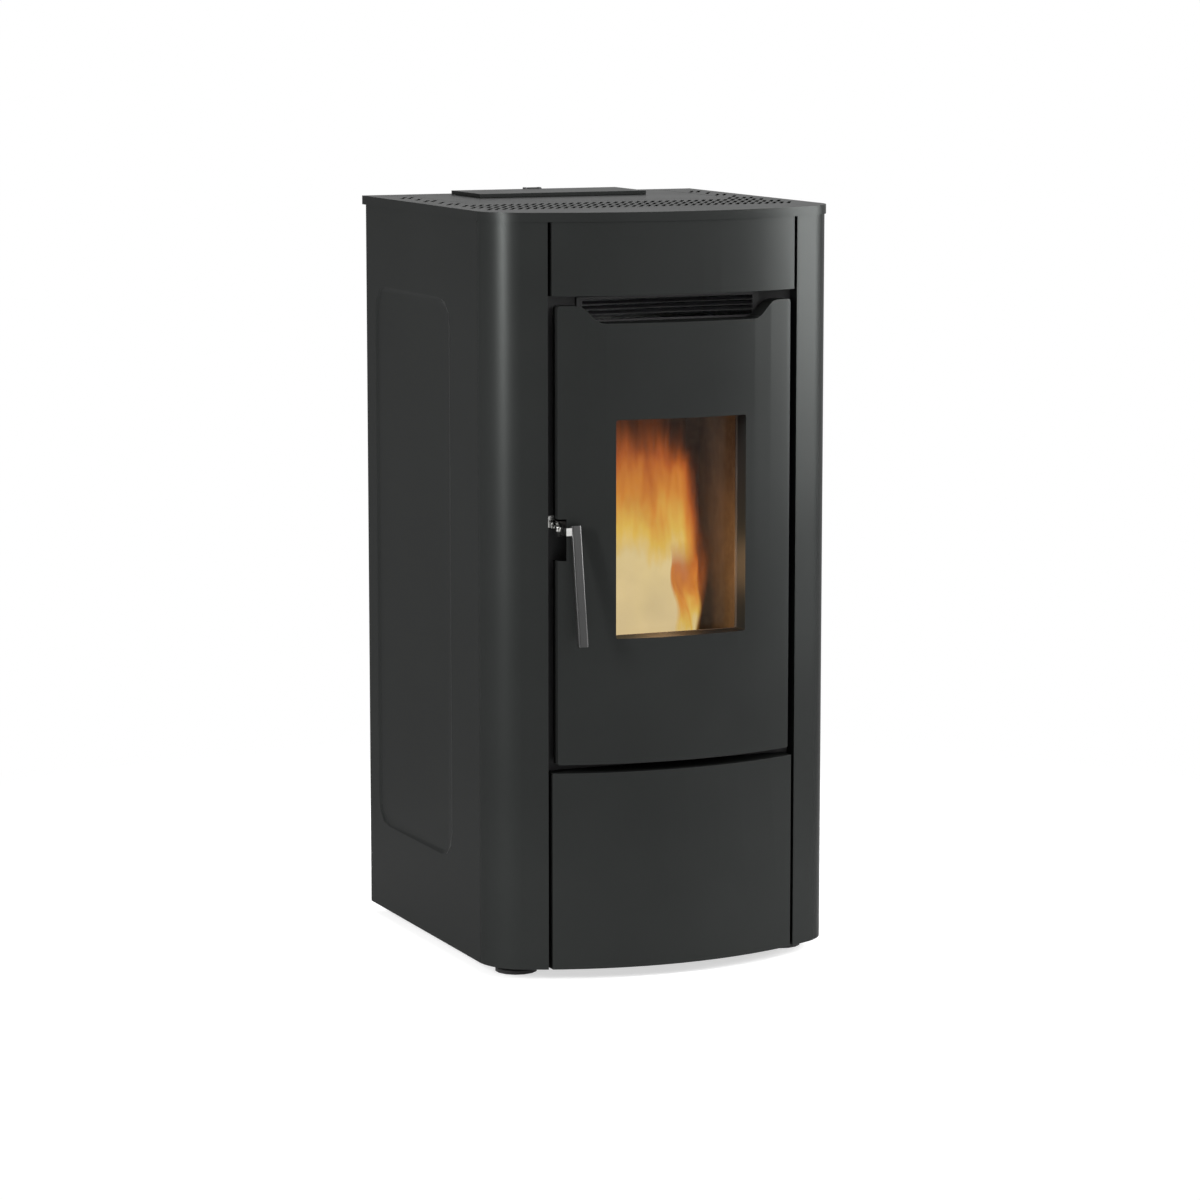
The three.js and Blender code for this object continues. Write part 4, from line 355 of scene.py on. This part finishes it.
def flame_spread(up):
    """A sheet's width at a height, both as shares of the whole."""
    if up < SHOULDER:
        return FOOT_SPREAD + SWELL * up - TAPER * up * up
    return SHOULDER_SPREAD - TAPER * (up - SHOULDER)


def flame(name, foot, width, height, material, lean, curl, seed):
    """A sheet of flame that stands on the pot: a curved, tapering grid with a rim that fades. foot is the
    middle of its lower edge, lean how far its tip stands to the right of that, and curl how far its sides
    bend back."""
    random.seed(seed)
    waves = [(random.uniform(*WAVE_RATES), random.uniform(0, ROUND_TURN), random.uniform(*WAVE_SHARES))
             for _ in range(WAVES)]
    mesh = bpy.data.meshes.new(name)
    work = bmesh.new()
    rim = work.verts.layers.float.new("rim")
    grid = []
    for row in range(FLAME_ROWS + 1):
        up = row / FLAME_ROWS
        sway = sum(share * math.sin(rate * up * 2 + phase) for rate, phase, share in waves) * SWAY
        line = []
        for column in range(FLAME_COLUMNS + 1):
            across = column / FLAME_COLUMNS * 2 - 1
            x = foot[0] + across * flame_spread(up) * width / 2 + lean * up * up + sway * up
            ripple = RIPPLE * math.sin(RIPPLE_UP * up + across * RIPPLE_ACROSS + seed)
            y = foot[1] + curl * (across * across) + ripple
            z = foot[2] + up * height * (1 - ROW_BOW * across * across)
            vert = work.verts.new((x, y, z))
            vert[rim] = min(1.0, (1 - abs(across)) * SIDE_FADE) * min(1.0, (1 - up) * TIP_FADE)
            line.append(vert)
        grid.append(line)
    for lower, upper in zip(grid, grid[1:]):
        for column in range(FLAME_COLUMNS):
            work.faces.new((lower[column], lower[column + 1], upper[column + 1], upper[column]))
    work.to_mesh(mesh)
    work.free()
    for polygon in mesh.polygons:
        polygon.use_smooth = True
    mesh.materials.append(material)
    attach(add_object(name, mesh), "stove")


def add_fire():
    """A broad sheet at the back, a core before it, and a short tongue at the right front."""
    low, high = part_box("burn_pot")
    foot = high.z - FLAME_SINK
    middle = (low.y + high.y) / 2
    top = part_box("flame_deflector")[0].z - FLAME_CLEARANCE
    tall = top - foot
    back = flame_material("flame_back", foot, top, seed=3.1, hot=0.30, edge=0.8, side=(0.06, 0.15))
    core = flame_material("flame_core", foot, top, seed=7.7, hot=0.34, edge=0.45, side=(0.075, 0.135))
    small = flame_material("flame_small", foot, top - TONGUE_DROP, seed=12.4, hot=0.02, edge=0.5,
                           side=(0.14, 0.18))
    flame("flame_rear", (0.025, middle + FLAME_GAP, foot), width=0.25, height=tall, material=back,
          lean=0.004, curl=0.012, seed=4)
    flame("flame_core", (0.020, middle, foot), width=0.21, height=tall * 0.97, material=core,
          lean=0.006, curl=0.02, seed=9)
    flame("flame_front", (0.075, middle - FLAME_GAP, foot), width=0.045, height=tall * 0.42, material=small,
          lean=-0.014, curl=0.006, seed=5)


# ---- Pellets and fasteners ----

PELLETS = 90
PELLET_SEED = 31
PELLET_RADIUS = 3 * MM
PELLET_LENGTHS = (9, 16)  # millimetres
PELLET_SIDES = 8
HEAP_MARGIN_X, HEAP_MARGIN_Y = 16 * MM, 14 * MM  # between the pellets' middles and the pot's outside
HEAP_DEPTH = 34  # millimetres under the pot's rim at the heap's edge
HEAP_RISE = 18  # millimetres that its middle is higher
HEAP_SETTLING = 6  # millimetres that a pellet may lie lower
PELLET_LEAN = (1.1, 1.9)  # radians from upright

SCREW_RADIUS = 4 * MM
SCREW_HEIGHT = 2 * MM
SCREW_SIDES = 18
SCREW_INSET = 16 * MM
SCREWS_A_SIDE = 5


def turned_profile(work, profile, sides, matrix):
    """Adds a closed turned shape: profile lists (radius, height) from one end on the axis to the other."""
    angles = [2 * math.pi * side / sides for side in range(sides)]
    rings = []
    for radius, height in profile:
        if radius:
            spots = [(radius * math.cos(angle), radius * math.sin(angle), height) for angle in angles]
        else:
            spots = [(0, 0, height)]
        rings.append([work.verts.new(matrix @ Vector(spot)) for spot in spots])
    for low, high in zip(rings, rings[1:]):
        for side in range(sides):
            after = (side + 1) % sides
            if len(low) == 1:
                work.faces.new((low[0], high[side], high[after]))
            elif len(high) == 1:
                work.faces.new((low[side], low[after], high[0]))
            else:
                work.faces.new((low[side], low[after], high[after], high[side]))


def finished(name, work, material):
    """Turns a bmesh into a piece of the stove's body."""
    bmesh.ops.recalc_face_normals(work, faces=work.faces)
    mesh = bpy.data.meshes.new(name)
    work.to_mesh(mesh)
    work.free()
    mesh.materials.append(material)
    obj = add_object(name, mesh)
    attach(obj, "stove")


def ember_material():
    """Burning pellets: dark crust with glowing patches."""
    material, tree = new_material("embers")
    noise = tree.noise(tree.point(), scale=130.0)
    heat = tree.ramp(noise, [
        (0.35, (0.02, 0.008, 0.004)),
        (0.5, (0.75, 0.16, 0.02)),
        (0.7, (1.0, 0.62, 0.2)),
    ])
    glow = tree.ramp(noise, [(0.35, (0, 0, 0)), (0.6, (1, 1, 1))])
    shader = tree.add("ShaderNodeBsdfPrincipled", {
        "Base Color": (0.05, 0.03, 0.02, 1.0), "Roughness": 0.9,
        "Emission Color": heat, "Emission Strength": glow,
    })
    tree.finish(shader.outputs["BSDF"])
    return material


def add_pellets():
    """A heap of short rods in the burn pot, highest in its middle."""
    low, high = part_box("burn_pot")
    half = Vector(((high.x - low.x) / 2 - HEAP_MARGIN_X, (high.y - low.y) / 2 - HEAP_MARGIN_Y))
    centre = (low + high) / 2
    bevel = PELLET_RADIUS * 0.75
    random.seed(PELLET_SEED)
    work = bmesh.new()
    for _ in range(PELLETS):
        x, y = random.uniform(-1, 1), random.uniform(-1, 1)
        end = random.uniform(*PELLET_LENGTHS) * MM / 2
        level = high.z - (HEAP_DEPTH - HEAP_RISE * (1 - x * x) * (1 - y * y)) * MM
        level += random.uniform(-HEAP_SETTLING, 0) * MM
        spot = Vector((centre.x + x * half.x, centre.y + y * half.y, level))
        lean = Matrix.Rotation(random.uniform(*PELLET_LEAN), 4, "X")
        turn = Matrix.Rotation(random.uniform(0, ROUND_TURN), 4, "Z")
        profile = [(0, -end), (bevel, -end), (PELLET_RADIUS, bevel / 2 - end),
                   (PELLET_RADIUS, end - bevel / 2), (bevel, end), (0, end)]
        turned_profile(work, profile, PELLET_SIDES, Matrix.Translation(spot) @ turn @ lean)
    finished("burning_pellets", work, ember_material())


def add_screws():
    """Socket screws that hold the rear panel, along its sides, its head and its foot."""
    low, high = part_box("rear_panel")
    across, foot, head = high.x - SCREW_INSET, low.z + SCREW_INSET, high.z - SCREW_INSET
    gap = (head - foot) / (SCREWS_A_SIDE - 1)
    spots = [(side * across, foot + gap * step) for side in (-1, 1) for step in range(SCREWS_A_SIDE)]
    spots += [(side * across / 2, z) for side in (-1, 1) for z in (foot, head)]
    radius, height = SCREW_RADIUS, SCREW_HEIGHT
    head_and_socket = [(0, 0), (radius, 0), (radius, height * 0.6), (radius * 0.8, height),
                       (radius * 0.5, height), (radius * 0.45, height * 0.4), (0, height * 0.4)]
    outwards = Matrix.Rotation(-math.pi / 2, 4, "X")
    work = bmesh.new()
    for x, z in spots:
        turned_profile(work, head_and_socket, SCREW_SIDES, Matrix.Translation((x, high.y, z)) @ outwards)
    finished("rear_panel_screws", work, STEEL)


# ---- Stage ----

FLOOR_SIZE = 60.0
FLOOR_DARK, FLOOR_PALE = (0.54, 0.54, 0.54), (0.56, 0.56, 0.56)
FLOOR_LIFT = 0.62  # light of its own near the stove, as the camera, mirrors and glass see it
FLOOR_WHITENING = (0.55, 1.5)  # the distances between which it turns white


def floor_material():
    """Pale floor that keeps shadows near the object and runs into the white background further out."""
    material, tree = new_material("pale_floor")
    ray = tree.add("ShaderNodeLightPath").outputs
    shown = tree.math("MAXIMUM", ray["Is Camera Ray"], ray["Is Glossy Ray"], True)
    shown = tree.math("MAXIMUM", shown, ray["Is Transmission Ray"], True)
    point = tree.point()
    noise = tree.noise(point, scale=3.0, detail=2.0)
    colour = tree.ramp(noise, [(NOISE_SPAN[0], FLOOR_DARK), (NOISE_SPAN[1], FLOOR_PALE)])
    distance = tree.add("ShaderNodeVectorMath", {0: point}, operation="LENGTH").outputs["Value"]
    far = tree.remap(distance, FLOOR_WHITENING, interpolation_type="SMOOTHSTEP")
    lift = tree.add("ShaderNodeEmission", {"Strength": tree.math("MULTIPLY", shown, FLOOR_LIFT)})
    near = tree.add("ShaderNodeAddShader", {
        0: tree.add("ShaderNodeBsdfDiffuse", {"Color": colour}).outputs[0],
        1: lift.outputs[0],
    })
    mix = tree.add("ShaderNodeMixShader", {
        "Fac": tree.math("MULTIPLY", far, shown),
        1: near.outputs[0],
        2: tree.add("ShaderNodeEmission", {"Strength": 1.0}).outputs[0],
    })
    tree.finish(mix.outputs[0])
    return material


def add_floor():
    mesh = bpy.data.meshes.new("floor")
    half = FLOOR_SIZE / 2
    corners = [(-half, -half, 0), (half, -half, 0), (half, half, 0), (-half, half, 0)]
    mesh.from_pydata(corners, [], [(0, 1, 2, 3)])
    mesh.materials.append(floor_material())
    add_object("floor", mesh)


# ---- Light ----

# Each lamp's name, its place, the point that it shines at, its width and height, and its watts. The two
# strips draw the upright lines of light on the rounded corners.
LAMPS = [
    ("overhead", (0.2, 0.1, 3.2), (0, 0, 0.3), (2.4, 2.4), 56),
    ("front_fill", (1.0, -3.6, 2.4), (0, 0, 0.5), (2.0, 2.0), 36),
    ("right_strip", (2.55, -0.75, 1.3), (0, -0.1, 0.95), (1.2, 1.5), 132),
    ("left_strip", (-2.5, -0.95, 1.35), (-0.2, -0.2, 1.0), (0.3, 1.2), 88),
]

GLOW_WATTS = 0.9
GLOW_COLOUR = (1.0, 0.55, 0.25)
GLOW_RADIUS = 0.04
GLOW_RIGHT, GLOW_FORWARD, GLOW_HEIGHT = 0.02, 0.01, 0.52

ROOM_LEVEL = 0.35  # what the room gives to dull surfaces
ROOM_MIRRORED = (0.4, 1.0)  # what shiny ones see of it, from its left to its right
ROOM_TURN = (-0.45, 0.35)  # X of the directions between which that changes


def add_world():
    """White behind everything. The room lights the object less than that, and mirrors in it darker towards
    its left."""
    world = bpy.data.worlds.new("studio")
    bpy.context.scene.world = world
    world.use_nodes = True
    tree = Nodes(world.node_tree)
    ray = tree.add("ShaderNodeLightPath").outputs
    direction = tree.add("ShaderNodeTexCoord").outputs["Generated"]
    parts = tree.add("ShaderNodeSeparateXYZ", {"Vector": direction}).outputs
    seen = tree.math("MAXIMUM", ray["Is Camera Ray"], ray["Is Transmission Ray"], True)
    mirrored = tree.math("MULTIPLY", ray["Is Glossy Ray"], tree.remap(parts["X"], ROOM_TURN, ROOM_MIRRORED))
    dull = tree.math("SUBTRACT", 1.0, tree.math("MAXIMUM", seen, ray["Is Glossy Ray"]), True)
    strength = tree.math("ADD", tree.math("ADD", seen, mirrored), tree.math("MULTIPLY", dull, ROOM_LEVEL))
    shader = tree.add("ShaderNodeBackground", {"Color": (1, 1, 1, 1), "Strength": strength})
    tree.finish(shader.outputs[0], "ShaderNodeOutputWorld")


def add_lights():
    """Soft rectangular lamps, and the fire's glow in its own chamber."""
    for name, place, target, (width, height), watts in LAMPS:
        data = bpy.data.lights.new(name, "AREA")
        data.shape = "RECTANGLE"
        data.size, data.size_y = width, height
        data.energy = watts
        lamp = add_object(name, data)
        lamp.location = place
        lamp.rotation_euler = (Vector(target) - lamp.location).to_track_quat("-Z", "Y").to_euler()
    data = bpy.data.lights.new("fire_glow", "POINT")
    data.energy = GLOW_WATTS
    data.color = GLOW_COLOUR
    data.shadow_soft_size = GLOW_RADIUS
    glow = add_object("fire_glow", data)
    glow.location = (GLOW_RIGHT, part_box("burn_pot")[0].y - GLOW_FORWARD, GLOW_HEIGHT)


# ---- The scene ----

bpy.context.scene.view_settings.view_transform = "Standard"
add_camera()
add_floor()
add_world()
add_lights()
dress_nodes()
add_pellets()
add_screws()
add_fire()
